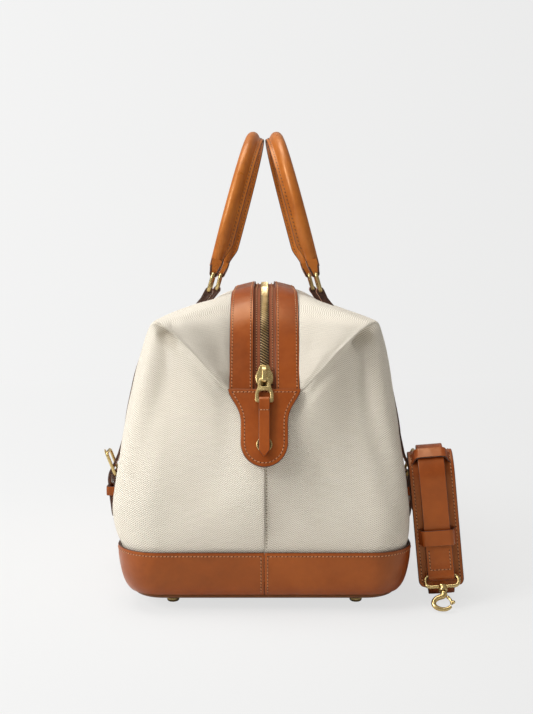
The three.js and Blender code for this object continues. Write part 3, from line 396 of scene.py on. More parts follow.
def flat_shape(outlines, low, high, bevel, edge_slot=1):
    """Plate with holes and rounded edges, from closed outlines in the XY plane."""
    curve = bpy.data.curves.new("plate_outline", "CURVE")
    curve.dimensions = "2D"
    curve.fill_mode = "BOTH"
    curve.extrude = (high - low) / 2 - bevel
    curve.bevel_depth = bevel
    curve.bevel_resolution = 2
    for points in outlines:
        spline = curve.splines.new("POLY")
        spline.points.add(len(points) - 1)
        flat = np.column_stack([points, np.zeros(len(points)), np.ones(len(points))])
        spline.points.foreach_set("co", flat.ravel())
        spline.use_cyclic_u = True
    holder = linked("plate_outline", curve)
    mesh = bpy.data.meshes.new_from_object(holder.evaluated_get(bpy.context.evaluated_depsgraph_get()))
    bpy.data.objects.remove(holder)
    bpy.data.curves.remove(curve)
    bm = bmesh.new()
    bm.from_mesh(mesh)
    bmesh.ops.remove_doubles(bm, verts=bm.verts, dist=1e-3)
    bm.normal_update()
    verts = np.array([v.co for v in bm.verts]) + [0, 0, (low + high) / 2]
    faces = [[v.index for v in f.verts] for f in bm.faces]
    marks = [edge_slot if abs(f.normal.z) < 0.8 else 0 for f in bm.faces]
    bm.free()
    bpy.data.meshes.remove(mesh)
    return verts, faces, marks


# ------------------------------------------------------------------ stitches
STITCH_PITCH = 3.4
# Radius of the dark disc of painted shade at each needle hole.
HOLE_RADIUS = 0.62
# Shape of a stitch from end to end, as shares of half its length and of its radius.
STITCH_REACH = np.array([-1, -0.86, -0.45, 0.45, 0.86, 1])
STITCH_FAT = np.array([0.25, 0.72, 1, 1, 0.72, 0.25])
STITCH_SINK = np.array([-0.35, -0.1, 0.12, 0.12, -0.1, -0.35])
STITCH_FLAT = 0.8


def stitches(points, normals, pitch=STITCH_PITCH, length=2.35, radius=0.43, slant=0.22):
    """Row of thread stitches on a surface, with a dark disc of painted shade at both ends of each, where the
    needle hole lies.
    """
    points = np.asarray(points, float)
    normals = np.broadcast_to(np.asarray(normals, float), points.shape)
    run = run_along(points)
    count = max(int(run[-1] / pitch), 1)
    at = (np.arange(count) + 0.5) * run[-1] / count
    centre = at_runs(at, run, points)
    n = unit(at_runs(at, run, normals))
    after = at_runs(np.minimum(at + 0.5, run[-1]), run, points)
    t = unit(after - at_runs(np.maximum(at - 0.5, 0), run, points))
    b = np.cross(n, t)
    t = unit(t + b * slant)
    b = np.cross(n, t)
    reach = STITCH_REACH * length / 2
    fat = STITCH_FAT * radius
    sink = STITCH_SINK * radius
    a = circle(6)
    rings = (centre[:, None, None] + t[:, None, None] * reach[None, :, None, None]
             + (b[:, None, None] * np.cos(a)[None, None, :, None]
                + n[:, None, None] * np.sin(a)[None, None, :, None] * STITCH_FLAT) * fat[None, :, None, None]
             + n[:, None, None] * sink[None, :, None, None])
    bits = [loft(r) for r in rings]
    at = np.linspace(0, run[-1], count + 1)
    holes = at_runs(at, run, points)
    hole_n = unit(at_runs(at, run, normals))
    hole_t = unit(np.gradient(holes, axis=0))
    hole_b = np.cross(hole_n, hole_t)
    # Each needle hole is a thin dark lens on the surface: painted shade, not a cut hole.
    for h, hn, ht, hb in zip(holes, hole_n, hole_t, hole_b):
        rim = h + (ht[None] * np.cos(a)[:, None] + hb[None] * np.sin(a)[:, None]) * HOLE_RADIUS
        lens = np.stack([h + (rim - h) * 0.1 - hn * 0.12, rim, h + (rim - h) * 0.1 + hn * 0.07])
        bits.append(recoloured(loft(lens), 1))
    return merge(*bits)


# ------------------------------------------------------------------ materials
class Nodes:
    """Small helper that wires shader nodes."""

    def __init__(self, name):
        self.material = bpy.data.materials.new(name)
        self.material.use_nodes = True
        self.tree = self.material.node_tree
        self.shader = next(n for n in self.tree.nodes if n.type == "BSDF_PRINCIPLED")
        self.coords = self.tree.nodes.new("ShaderNodeTexCoord")

    def add(self, kind, inputs=None, **settings):
        node = self.tree.nodes.new("ShaderNode" + kind)
        for key, value in settings.items():
            setattr(node, key, value)
        for key, value in (inputs or {}).items():
            if isinstance(value, bpy.types.NodeSocket):
                self.tree.links.new(value, node.inputs[key])
            else:
                node.inputs[key].default_value = value
        return node

    def math(self, operation, a, b=0.0):
        return self.add("Math", {0: a, 1: b}, operation=operation).outputs[0]

    def plus(self, a, b):
        return self.math("ADD", a, b)

    def times(self, a, b):
        return self.math("MULTIPLY", a, b)

    def mixed(self, *shares):
        """Sum of values, each times its share."""
        total, *rest = [self.times(value, share) for value, share in shares]
        for value in rest:
            total = self.plus(total, value)
        return total

    def wave(self, value, turns):
        return self.math("SINE", self.times(value, turns))

    def scaled(self, vector, scale):
        return self.add("Mapping", {"Vector": vector, "Scale": scale}).outputs[0]

    def noise(self, scale, detail=3.0, rough=0.55, vector=None, distortion=0.0):
        """Noise in object space, where scale counts per metre, or over another vector."""
        vector = vector or self.coords.outputs["Object"]
        inputs = {"Vector": vector, "Scale": scale, "Detail": detail, "Roughness": rough,
                  "Distortion": distortion}
        return self.add("TexNoise", inputs).outputs["Fac"]

    def ramp(self, value, *stops):
        """Colour that runs through (place, colour) stops."""
        node = self.add("ValToRGB", {"Fac": value})
        ramp = node.color_ramp
        while len(ramp.elements) < len(stops):
            ramp.elements.new(0.5)
        for element, (place, colour) in zip(ramp.elements, stops):
            element.position = place
            element.color = (*colour, 1.0)
        return node.outputs["Color"]

    def grey(self, value, *stops):
        return self.ramp(value, *[(place, (level,) * 3) for place, level in stops])

    def mix(self, factor, colour, tint):
        """Colour from a socket, mixed with a fixed tint."""
        inputs = {0: factor, 6: colour, 7: (*tint, 1.0)}
        return self.add("Mix", inputs, data_type="RGBA").outputs[2]

    def bump(self, height, strength, distance_mm, normal=None):
        inputs = {"Height": height, "Strength": strength, "Distance": distance_mm * MM}
        if normal is not None:
            inputs["Normal"] = normal
        return self.add("Bump", inputs).outputs["Normal"]

    def finish(self, colour, roughness, normal=None, metallic=0.0, **extra):
        """Sets the shader's inputs from sockets or fixed values and returns the material."""
        values = {"Base Color": colour, "Roughness": roughness, "Metallic": metallic, **extra}
        if normal is not None:
            values["Normal"] = normal
        for key, value in values.items():
            socket = self.shader.inputs[key]
            if isinstance(value, bpy.types.NodeSocket):
                self.tree.links.new(value, socket)
            else:
                socket.default_value = (*value, 1.0) if isinstance(value, tuple) else value
        return self.material


def leather_material(name, dark, mid, light, gloss=0.35):
    """Smooth vegetable-tanned leather: cloudy colour, fine pores and faint creases."""
    n = Nodes(name)
    cloud = n.noise(14, 4, 0.6, distortion=0.4)
    tone = n.mixed((cloud, 0.72), (n.noise(120, 4, 0.65), 0.28))
    colour = n.ramp(tone, (0.3, dark), (0.5, mid), (0.72, light))
    pores = n.add("TexVoronoi", {"Vector": n.coords.outputs["Object"], "Scale": 1300.0},
                  feature="F1").outputs["Distance"]
    height = n.mixed((pores, 0.7), (n.noise(2200, 2, 0.5), 0.5))
    normal = n.bump(height, 0.34, 0.14, n.bump(n.noise(55, 3), 0.25, 0.5))
    rough = n.grey(n.noise(70, 4), (0.3, gloss - 0.05), (0.7, gloss + 0.12))
    return n.finish(colour, rough, normal, **{"Specular IOR Level": 0.85, "Coat Weight": 0.05,
                                              "Specular Tint": (1.0, 0.60, 0.28)})


def edge_material():
    """Dark painted and burnished leather edge."""
    n = Nodes("edge_paint")
    colour = n.ramp(n.noise(160, 3), (0.3, (0.035, 0.012, 0.006)), (0.7, (0.085, 0.030, 0.014)))
    return n.finish(colour, 0.38, n.bump(n.noise(700, 2), 0.3, 0.12))


RIB_PITCH = 2.2


def canvas_material():
    """Natural twill: diagonal ribs broken by the yarns, with flecks and faint shading."""
    n = Nodes("canvas_twill")
    uv = n.coords.outputs["UV"]
    warp = n.noise(3.2, 2, vector=uv)
    bend = n.add("CombineXYZ", {"X": n.times(warp, 0.09), "Y": n.times(warp, 0.07)}).outputs[0]
    bent = n.add("VectorMath", {0: uv, 1: bend}, operation="ADD").outputs[0]
    split = n.add("SeparateXYZ", {"Vector": bent})
    x, y = split.outputs[0], split.outputs[1]
    turns = 2 * math.pi / RIB_PITCH
    rib = n.wave(n.plus(x, y), turns)
    yarn = n.wave(n.math("SUBTRACT", y, n.times(x, 0.35)), turns * 1.15)
    weave = n.plus(n.times(n.mixed((rib, 0.6), (yarn, 0.4)), 0.5), 0.5)
    fibre = n.noise(2.6, 3, 0.7, vector=uv)
    slub = n.noise(1.0, 3, 0.6, vector=n.scaled(uv, (0.05, 1.1, 1.0)))
    deep, mid, pale = (0.27, 0.22, 0.16), (0.70, 0.645, 0.545), (0.88, 0.845, 0.765)
    tone = n.mixed((weave, 0.52), (fibre, 0.32), (slub, 0.16))
    colour = n.ramp(tone, (0.2, deep), (0.45, mid), (0.70, pale))
    colour = n.mix(n.grey(n.noise(16, 4), (0.35, 0.0), (0.75, 0.16)), colour, (0.66, 0.59, 0.475))
    normal = n.bump(n.mixed((weave, 0.75), (fibre, 0.35)), 0.9, 0.6)
    return n.finish(colour, 0.88, normal, **{"Sheen Weight": 0.12, "Sheen Roughness": 0.55,
                                             "Specular IOR Level": 0.2})


def brass_material(name, dark, light, rough):
    """Polished brass with faint smears and handling scratches."""
    n = Nodes(name)
    scratch = n.noise(900, 3, 0.6, vector=n.scaled(n.coords.outputs["Object"], (1.0, 1.0, 7.0)))
    colour = n.ramp(n.noise(90, 3), (0.3, dark), (0.65, light))
    level = n.grey(scratch, (0.3, rough), (0.75, rough + 0.08))
    return n.finish(colour, level, n.bump(scratch, 0.02, 0.01), metallic=1.0)


def thread_material(name, dark, light):
    """Twisted thread: two shades and a fine fuzz."""
    n = Nodes(name)
    colour = n.ramp(n.noise(500, 2), (0.3, dark), (0.7, light))
    return n.finish(colour, 0.55, n.bump(n.noise(3000, 1), 0.4, 0.1))


def hole_shade_material():
    """Painted shade: a dark disc for the shadow inside a needle hole."""
    n = Nodes("needle_hole_shade")
    return n.finish(n.ramp(n.noise(300), (0.3, (0.02, 0.007, 0.003)), (0.7, (0.05, 0.018, 0.008))), 0.8)


def cloth_material(name, dark, light, threads_per_m):
    """Plain woven cloth: a fine over and under weave in object space."""
    n = Nodes(name)
    split = n.add("SeparateXYZ", {"Vector": n.coords.outputs["Object"]})
    turns = threads_per_m * 6.2832
    across = n.wave(split.outputs[0], turns)
    along = n.wave(n.plus(split.outputs[1], split.outputs[2]), turns)
    weave = n.plus(n.times(n.times(across, along), 0.5), 0.5)
    tone = n.mixed((weave, 0.5), (n.noise(60, 4), 0.5))
    return n.finish(n.ramp(tone, (0.25, dark), (0.75, light)), 0.85, n.bump(weave, 0.5, 0.2))


LEATHER_TAN = leather_material("leather_tan", (0.165, 0.027, 0.004), (0.245, 0.045, 0.006),
                               (0.330, 0.070, 0.010))
# Painted light: a lighter, yellower copy of the tan leather for the handles, standing in for the key light
# their rolls catch.
LEATHER_HANDLE_LIT = leather_material("leather_handle_lit", (0.28, 0.068, 0.010), (0.41, 0.118, 0.018),
                                  (0.52, 0.170, 0.030), 0.32)
LEATHER_BASE = leather_material("leather_base", (0.08, 0.022, 0.008), (0.12, 0.034, 0.012),
                                (0.16, 0.05, 0.018))
EDGE = edge_material()
CANVAS = canvas_material()
BRASS = brass_material("brass", (0.52, 0.385, 0.16), (0.62, 0.475, 0.22), 0.24)
BRASS_TEETH = brass_material("brass_teeth", (0.46, 0.33, 0.15), (0.66, 0.51, 0.28), 0.3)
THREAD = thread_material("waxed_thread", (0.34, 0.12, 0.040), (0.60, 0.28, 0.12))
# Painted shade for the needle holes on leather and for the gaps under the zip's teeth.
HOLE_SHADE = hole_shade_material()
TAPE = cloth_material("zip_tape", (0.20, 0.050, 0.015), (0.30, 0.082, 0.026), 900)
LINING = cloth_material("lining_cotton", (0.50, 0.42, 0.29), (0.64, 0.56, 0.41), 500)
BOARD = cloth_material("fibre_board", (0.10, 0.075, 0.05), (0.17, 0.13, 0.09), 250)
CORD = cloth_material("cotton_cord", (0.42, 0.33, 0.20), (0.62, 0.53, 0.36), 300)
CANVAS_THREAD = thread_material("linen_thread", (0.58, 0.52, 0.42), (0.80, 0.75, 0.65))
# Painted shade for the needle holes of the canvas seam, lighter than on leather.
CANVAS_HOLE_SHADE = thread_material("linen_hole_shade", (0.20, 0.16, 0.11), (0.28, 0.23, 0.165))


# ------------------------------------------------------------------ base
BAND_ROW = 3.4
PANEL_R = 30
SIDES = ((-1, "left"), (1, "right"))
ENDS = ((-1, "front"), (1, "back"))


def smoothstep(x, low, high):
    t = np.clip((x - low) / (high - low), 0, 1)
    return t * t * (3 - 2 * t)


def band_inset(z):
    """How far the band's face leans in towards its foot."""
    t = np.clip((BAND_TOP - np.asarray(z, float)) / (BAND_TOP - BAND_FOOT), 0, 1)
    return 8 * t**2 + 3 * t**10


def outline(t, inset):
    """Half of the base outline: t runs 0 to 1 from the front end round a side to the back end.
    Returns x, y and the outward normal for a side at +X."""
    t, inset = np.broadcast_arrays(np.asarray(t, float), np.asarray(inset, float))
    a, b, r = BASE_A - inset, BASE_B - inset, BASE_R - inset
    bend = math.pi / 2 * r
    quarter = a - r + bend + b - r
    s = np.where(t < 0.5, t, 1 - t) * 2 * quarter
    end = np.where(t < 0.5, -1.0, 1.0)
    angle = np.clip((s - (a - r)) / r, 0, math.pi / 2)
    nx, ny = np.sin(angle), end * np.cos(angle)
    x = np.where(s < a - r, s, a - r + r * nx)
    past = np.maximum(s - (a - r) - bend, 0)
    y = end * (b - r - past) + r * ny
    return x, y, nx, ny


def band_profile():
    """Section of the base band: heights, depths from its face, and a slot for each side face."""
    profile = [(z, 0.0, 0) for z in np.linspace(BAND_FOOT, BAND_TOP - 0.9, 22)]
    profile += [(BAND_TOP - 0.3, 0.25, 1), (BAND_TOP, 0.8, 1)]
    profile += [(BAND_TOP, LEATHER - 0.7, 1), (BAND_TOP - 0.4, LEATHER, 0)]
    profile += [(z, LEATHER, 0) for z in np.linspace(BAND_TOP - 6, BAND_FOOT, 8)]
    return (np.array(column) for column in zip(*profile))


def band_rows(side):
    """Stitch rows of a band: one below its top edge, and one up each end by the seam."""
    x, y, nx, ny = outline(np.linspace(0.006, 0.994, 400), band_inset(BAND_TOP - BAND_ROW) - 0.05)
    points = np.stack([side * x, y, np.full(len(x), BAND_TOP - BAND_ROW)], 1)
    rows = [stitches(points, np.stack([side * nx, ny, 0 * nx], 1))]
    z = np.linspace(BAND_FOOT + 2.5, BAND_TOP - 3.5, 40)
    for end in (0.0, 1.0):
        _, y, _, ny = outline(np.full(40, end), band_inset(z) - 0.05)
        row = np.stack([np.full(40, side * 3.0), y, z], 1)
        rows.append(stitches(row, unit(np.stack([0 * z, ny, -np.gradient(y, z) * ny], 1))))
    return rows


def build_bands():
    zs, depths, marks = band_profile()
    ts = np.concatenate([[0, 0.0008, 0.002], np.linspace(0.006, 0.494, 90)])
    ts = np.concatenate([ts, 1 - ts[::-1]])
    for side, name in SIDES:
        x, y, _, ny = outline(ts[:, None], (band_inset(zs) + depths)[None, :])
        near = np.exp(-((x / 1.1) ** 2)) * 0.7 * (depths < 1)
        rings = np.stack([side * np.maximum(x, 0.2), y - ny * near, np.broadcast_to(zs, x.shape)], -1)
        leather_piece(f"band_{name}", "bag", loft(rings, slots=marks, cap_slot=1), f"base_band_{name}")
        thread_piece(f"band_stitches_{name}", "bag", band_rows(side))


def build_panel():
    """Leather base, crowned downwards between its rounded edges."""
    low, high = box_mm("base_panel")
    a, b = high[:2] - 0.5 - PANEL_R

    def plan(inset):
        return np.concatenate([arc(sx * a, sy * b, PANEL_R - inset, start, start + 90, 14)
                               for sx, sy, start in CORNERS])

    levels = [(24 * q**2, low[2] + (1 - q) ** 2 * 4.6) for q in np.linspace(1, 0.05, 12)]
    levels += [(0.0, low[2] + 5.2), (0.8, high[2] - 0.2), (1.6, high[2])]
    piece("base_panel_leather", "bag", stack(plan, levels), [LEATHER_BASE], ["base_panel"])


def build_feet():
    profile = [(0, 0), (3.6, 0.05), (4.9, 0.35), (5.7, 1.1), (6, 2.2), (5.9, 3.4), (5.2, 4.9), (4.3, 6),
               (4, 7), (4.6, 8), (5.9, 8.7), (5.9, 9.4), (0, 9.5)]
    foot = lathe(smooth(profile, 0.35, 2), 36)
    for _, end in ENDS:
        for _, side in SIDES:
            low, high = box_mm(f"foot_{end}_{side}")
            middle = (low + high) / 2
            brass_piece(f"foot_{end}_{side}", foot, shift(middle[0], middle[1], 0), "bag")


# ------------------------------------------------------------------ zip line
def zip_line(run):
    """The zip's line over the bag: y, z and the outward normal at a distance from the crest's middle."""
    run = np.asarray(run, float)
    a, end = np.abs(run), np.where(run < 0, -1.0, 1.0)
    angle = np.clip((a - CREST_RUN) / BEND_R, 0, SLOPE)
    down = np.maximum(a - SLOPE_RUN, 0)
    y = np.minimum(a, CREST_RUN) + BEND_R * np.sin(angle) + down * math.cos(SLOPE)
    crown = CREST_CROWN * np.cos(math.pi * np.minimum(a, CREST_RUN) / (2 * CREST_RUN)) ** 2
    z = CREST_Z + crown - BEND_R * (1 - np.cos(angle)) - down * math.sin(SLOPE)
    return y * end, z, np.sin(angle) * end, np.cos(angle)


def off_zip_line(run, x, offset):
    """Points at x across the bag and an offset outwards from the zip line."""
    y, z, ny, nz = zip_line(run)
    y, z, x = np.broadcast_arrays(y + ny * offset, z + nz * offset, x)
    return np.stack([x, y, z], -1)


def strip_tilt(run):
    """Slope of the strips across the bag: like the roof on the crest, level on the ends."""
    return ROOF_TILT * (1 - smoothstep(np.abs(run), CREST_RUN, SLOPE_RUN + 20))


def strip_drop(run, x):
    """Height of a strip at x, against its inner edge."""
    return -strip_tilt(run) * (np.abs(x) - STRIP_INNER)


def strip_normals(run, side):
    _, _, ny, nz = zip_line(run)
    return unit(np.stack([side * strip_tilt(run), ny, nz], -1))


def strip_row(runs, side, x, lift, **thread):
    """Stitches along a strip at a distance x from the middle line."""
    points = off_zip_line(runs, np.full(len(runs), side * x), strip_drop(runs, x) + lift)
    return stitches(points, strip_normals(runs, side), **thread)


TOOTH_SLANT = math.radians(-33)
TOOTH_PITCH = 5.6


def tooth_shape():
    """One zip tooth: a rounded bar whose head narrows past the middle line. X points to the tape."""
    xs = np.array([-4.6, -4.3, -3.4, -1.2, 1.2, 3.6, 4.4, 4.6])
    half = np.array([0.15, 0.38, 0.52, 0.6, 0.6, 0.55, 0.4, 0.15])
    rise = np.array([0.2, 0.6, 0.95, 1.25, 1.25, 1.0, 0.7, 0.3])
    a = circle(10)
    rings = np.stack([np.broadcast_to(xs[:, None], (8, 10)), half[:, None] * np.cos(a),
                      rise[:, None] * np.sin(a)], -1)
    return loft(rings)


def slope_matrix(end):
    """Local frame of a slope: Y climbs it, Z faces out of it, origin at its top."""
    spin = np.eye(4) if end < 0 else turn("z", math.pi)
    return spin @ shift(y=-SLOPE_Y, z=SLOPE_Z) @ turn("x", SLOPE)


def bow(a, b, c, d, parts=18):
    """Points on a cubic curve between four places (x, y)."""
    return bezier(*np.array([a, b, c, d], float), np.linspace(0, 1, parts + 1)[:, None])


def tab_outline(inset=0.0):
    """Leather tab at an end of the zip: wide at its top, with a waist and a round foot."""
    half = path(bow((STRIP_OUTER, -TAB_TOP), (31, -68), (21, -74), (21, -90)),
                bow((21, -90), (21, -96), (21, -102), (21, -108), 6)[1:],
                bow((21, -108), (21, -121), (11, -TAB_FOOT), (0, -TAB_FOOT))[1:])
    full = path(half, (half * [-1, 1])[::-1][1:])
    if inset == 0.0:
        return full
    t = unit(np.gradient(full, axis=0))
    return full + np.stack([t[:, 1], -t[:, 0]], 1) * inset


# Where the strips and the zip's teeth end, as distances along the zip line.
END_RUN = SLOPE_RUN + STRIP_END
ZIP_END = SLOPE_RUN + 56
STRIP_ROW = 2.6
STRIP_HALF = (STRIP_OUTER - STRIP_INNER) / 2
STRIP_MIDDLE = (STRIP_OUTER + STRIP_INNER) / 2
TAPE_MIDDLE = 7.4
TAPE_DROP = 3.9
TOOTH_DROP = 2.0
TAB_FACE = GAP + TAB_THICK + 0.04


def build_strip(side, name):
    section, slots = rounded(STRIP_HALF, LEATHER / 2, 0.8, crown=0.25, groove=0.22, flat=34)
    runs = np.linspace(-END_RUN, END_RUN, 260)
    x = STRIP_MIDDLE + section[:, 0]
    offset = strip_drop(runs[:, None], x[None]) + section[None, :, 1] - LEATHER / 2
    rings = off_zip_line(runs[:, None], side * x[None], offset)
    leather_piece(f"strip_{name}", "bag", loft(rings, slots=slots, cap_slot=1), f"zip_strip_{name}")
    line = runs[np.abs(runs) < END_RUN - 6]
    rows = [strip_row(line, side, at, 0.12) for at in (STRIP_INNER + STRIP_ROW, STRIP_OUTER - STRIP_ROW)]
    line = runs[np.abs(runs) < ZIP_END - 4]
    rows.append(strip_row(line, side, 7.6, -3.1, pitch=2.8, length=1.9, radius=0.34))
    thread_piece(f"strip_stitches_{name}", "bag", rows)


def zip_half(side):
    """Tape, a dark strip of painted shade under the teeth, and the teeth of one half."""
    section, _ = rounded(6.4, 0.5, 0.3, flat=4)
    x = TAPE_MIDDLE + section[:, 0]
    runs = np.linspace(-ZIP_END, ZIP_END, 220)[:, None]
    drop = strip_drop(runs, np.maximum(x, STRIP_INNER)[None])
    tape = loft(off_zip_line(runs, side * x[None], section[None, :, 1] - TAPE_DROP + drop * (x > 5)))
    # The dark strip under the teeth (slot 2, the needle-hole shade) is painted shade that darkens the gaps
    # between them.
    core = np.array([(0.1, -3.2), (4.2, -3.2), (4.2, -2.5), (0.1, -2.5)])
    core = loft(off_zip_line(runs, side * core[None, :, 0], core[None, :, 1]))
    bits = [recoloured(tape, 1), recoloured(core, 2)]
    tooth = tooth_shape()
    for i in range(int(2 * ZIP_END / TOOTH_PITCH)):
        run = -ZIP_END + (i + (0.25 if side < 0 else 0.75)) * TOOTH_PITCH
        y, z, ny, nz = (float(q) for q in zip_line(run))
        m = np.eye(4)
        m[:3, 0] = side, 0, 0
        m[:3, 1] = 0, nz * side, -ny * side
        m[:3, 2] = 0, ny, nz
        m[:3, 3] = 0, y - ny * TOOTH_DROP, z - nz * TOOTH_DROP
        bits.append(placed(tooth, m @ turn("z", TOOTH_SLANT)))
    return merge(*bits)


def build_tab(end, name):
    m = slope_matrix(end)
    plate = flat_shape([tab_outline()], GAP, GAP + TAB_THICK, 0.7)
    leather_piece(f"tab_{name}_leather", "bag", placed(plate, m), f"tab_{name}")
    round_row = resample(tab_outline(2.9), 1.0)
    round_row = round_row[round_row[:, 1] < -TAB_TOP - 2.6]
    reach = STRIP_OUTER - 3.4
    across = np.column_stack([np.linspace(-reach, reach, 50), np.full(50, -TAB_TOP - 2.4)])
    rows = [stitches(np.column_stack([r, np.full(len(r), TAB_FACE)]), (0, 0, 1)) for r in (round_row, across)]
    thread_piece(f"tab_{name}_stitches", "bag", rows, m)


def build_zip():
    for side, name in SIDES:
        build_strip(side, name)
        teeth = [BRASS_TEETH, TAPE, HOLE_SHADE]
        piece(f"zip_row_{name}", "bag", zip_half(side), teeth, [f"zip_half_{name}"])
    for end, name in ENDS:
        build_tab(end, name)
    build_stud()
    build_slider()


SLIDER_RUN = 44.5
STUD_RUN = 110.6
PULL_TILT = math.radians(7)
PULLER_STEP = 0.8


def build_stud():
    """Brass ring round a small dark disc, pressed into the front tab; the disc's dark base leather is painted
    shade for the shaded cap inside the ring.
    """
    rim = smooth([(0, 0), (5.2, 0), (5.4, 0.5), (5.9, 0.95), (6.8, 1.1), (7.3, 0.7), (7.4, 0), (7.4, -0.2),
                  (0, -0.2)], 0.2, 1)
    # Painted shade: the cap inside the ring is coloured as dark base leather.
    cap_shade_disc = lathe([(0, 0.35), (3, 0.38), (5.3, 0.3), (5.5, 0), (0, 0)], 32)
    stud = merge(recoloured(lathe(rim, 40), 0), recoloured(cap_shade_disc, 1))
    stud = placed(stud, slope_matrix(-1) @ shift(y=-STUD_RUN, z=GAP + TAB_THICK + 0.25))
    piece("stud_ring", "bag", stud, [BRASS, LEATHER_BASE], ["stud"])


def slider_body():
    """Waisted plate, two lips that hold the teeth, and the bridge that the pull hangs from."""
    right = np.array([(3.4, 11), (4.4, 10.2), (4.9, 7), (6.4, 4.2), (7.5, 1.5), (7.6, -2), (7.3, -4),
                      (6.6, -6.4), (5, -7.2)])
    right = smooth(right, 0.6, 3)
    shape = path(right, (right * [-1, 1])[::-1])
    plate = flat_shape([shape], 0.25, 2.3, 0.7, edge_slot=0)
    lip = np.array([(5, -8), (7.2, -6), (7.2, 3), (5, 6)])
    lips = [flat_shape([lip * [s, 1]], -2.8, 1.2, 0.4, edge_slot=0) for s in (-1, 1)]
    way = [(10, 1.6), (8.8, 4.6), (5.5, 6.6), (-1, 7.2), (-5.2, 7.0), (-6.6, 5.2), (-6.8, 1.8)]
    points = in_plane(smooth(way, 0.6, 3))
    section, _ = rounded(2.3, 0.85, 0.75, crown=0.35, flat=8)
    widths = np.interp(np.linspace(0, 1, len(points)), [0, 0.25, 0.7, 1], [1.25, 1.0, 0.85, 0.75])
    bridge = strap(points, (1, 0, 0), section, None, widths)
    return merge(*[recoloured(p, 0) for p in (plate, *lips, bridge)])


def pull_plate():
    """Brass pull with an eye for the bridge and a slot for the leather puller."""
    outer = smooth([(0, 1.5), (3.4, 1.3), (4.7, 0.3), (5.3, -3), (6.0, -8.6), (7.4, -12.4), (8.1, -15),
                    (8.15, -21), (7.5, -22.8), (0, -22.9)], 0.5, 3)
    eye = smooth([(0, -1.1), (2.5, -1.3), (3.3, -3), (3.3, -6.4), (2.2, -7.4), (0, -7.5)], 0.4, 2)
    slot = smooth([(0, -11), (3.6, -11.1), (5.2, -12.6), (5.7, -14.5), (5.7, -20.2), (0, -20.3)], 0.5, 1)
    return flat_shape([both_sides(half) for half in (outer, eye, slot)], -0.9, 0.9, 0.45, edge_slot=0)


def puller_strap():
    """Leather puller: one strap folded through the slot, both of its ends tapered."""
    way = path([(-46, -1.0), (-20, -1.0), (-9, -1.3), (-4.2, -2.4)], arc(0, 0, 2.85, -95, 95, 14),
               [(-4.2, 2.4), (-9, 1.35), (-20, 1.0), (-53, 1.0)])
    points = in_plane(smooth(way, PULLER_STEP, 2))
    section, slots = rounded(5.0, 0.88, 0.5, crown=0.12, flat=10)
    from_tip = np.linspace(len(points) - 1, 0, len(points)) * PULLER_STEP
    from_back = np.linspace(0, len(points) - 1, len(points)) * PULLER_STEP
    widths = np.clip(0.12 + np.minimum(from_tip / 6.5, (from_back + 1.5) / 5.5), 0, 1)
    return strap(points, (1, 0, 0), section, slots, widths)


def build_slider():
    m = slope_matrix(-1) @ shift(y=-SLIDER_RUN)
    brass_piece("slider", slider_body(), m)
    m = m @ shift(y=-4, z=4.4) @ turn("x", -PULL_TILT)
    brass_piece("pull", pull_plate(), m)
    m = m @ shift(y=-21.5) @ turn("x", PULL_TILT)
    leather_piece("puller_leather", "puller", placed(puller_strap(), m), "puller")
    row = stitches([(-4, -9.6, 2.28), (4, -9.6, 2.28)], (0, 0, 1), pitch=2.6, slant=0.0)
    thread_piece("puller_stitches", "puller", [row], m)


# ------------------------------------------------------------------ canvas
# Stations from the middle of an end to the middle of a side: distance along the base outline, rim
# (x, y, z), zip-line run of the roof's edge, swell low and high on the wall, drop, roof swells.
STATIONS = np.array([
    (0, 0, 217, 197, 269, 17, 33, 47, 0, 0),
    (36, 33, 212.2, 205, 262, 17, 18, 44, 6, 2),
    (55, 50, 216.5, 222, 243.2, 15, -4, 38, 13, 3),
    (76, 69, 217, 242, 224.3, 14, -24, 32, 15, 4),
    (98, 86, 212, 258, 207.6, 16, -40, 26, 13, 5),
    (122, 100, 202, 266.5, 180, 22, -40, 24, 9, 5),
    (150, 109, 186, 268.5, 150, 28, -6, 20, 6, 5),
    (205, 113, 150, 269.5, 122, 32, 12, 16, 5, 6),
    (279, 113, 75, 269.5, 61, 37, 19, 14, 4, 6),
    (353.4, 113, 0, 269, 0, 38.5, 24, 14, 4, 6),
], float)
QUARTER = STATIONS[-1, 0]
U_SIDE = len(STATIONS) - 1
U_END = 2 * U_SIDE
RIGHT_SWELL = 0.5
TUCK = 29.0
ROOF_EDGE_X = 29.0
# Heights between which the cloth lies behind a leather tab.
TAB_Z = (128, 214)
# Thickness of the canvas, and half of the gap between its two halves at the end seams.
CLOTH = 1.8
SEAM_GAP = 0.03
# How far the cotton lining hangs inside the canvas, and its thickness.
LINING_DEPTH = 6.0
LINING_THICK = 1.2


def from_end(us):
    """Stations between a place and the nearer end of the bag."""
    return np.minimum(us, U_END - us)


def station_values(u):
    """Smoothly interpolated station rows at u (0 to U_END, front end to back end)."""
    folded = from_end(np.asarray(u, float))
    i = np.clip(np.floor(folded).astype(int), 0, U_SIDE - 1)
    t = (folded - i)[:, None]
    mirror = np.where(np.arange(STATIONS.shape[1]) < 2, -1, 1)

    def row(k):
        index = np.where(k > U_SIDE, U_END - k, np.abs(k))
        return STATIONS[index] * np.where((k < 0)[:, None], mirror, 1)

    after = row(i + 2)
    after[:, 0] = np.where(i + 2 > U_SIDE, 2 * QUARTER - after[:, 0], after[:, 0])
    return through(row(i - 1), row(i), row(i + 1), after, t)


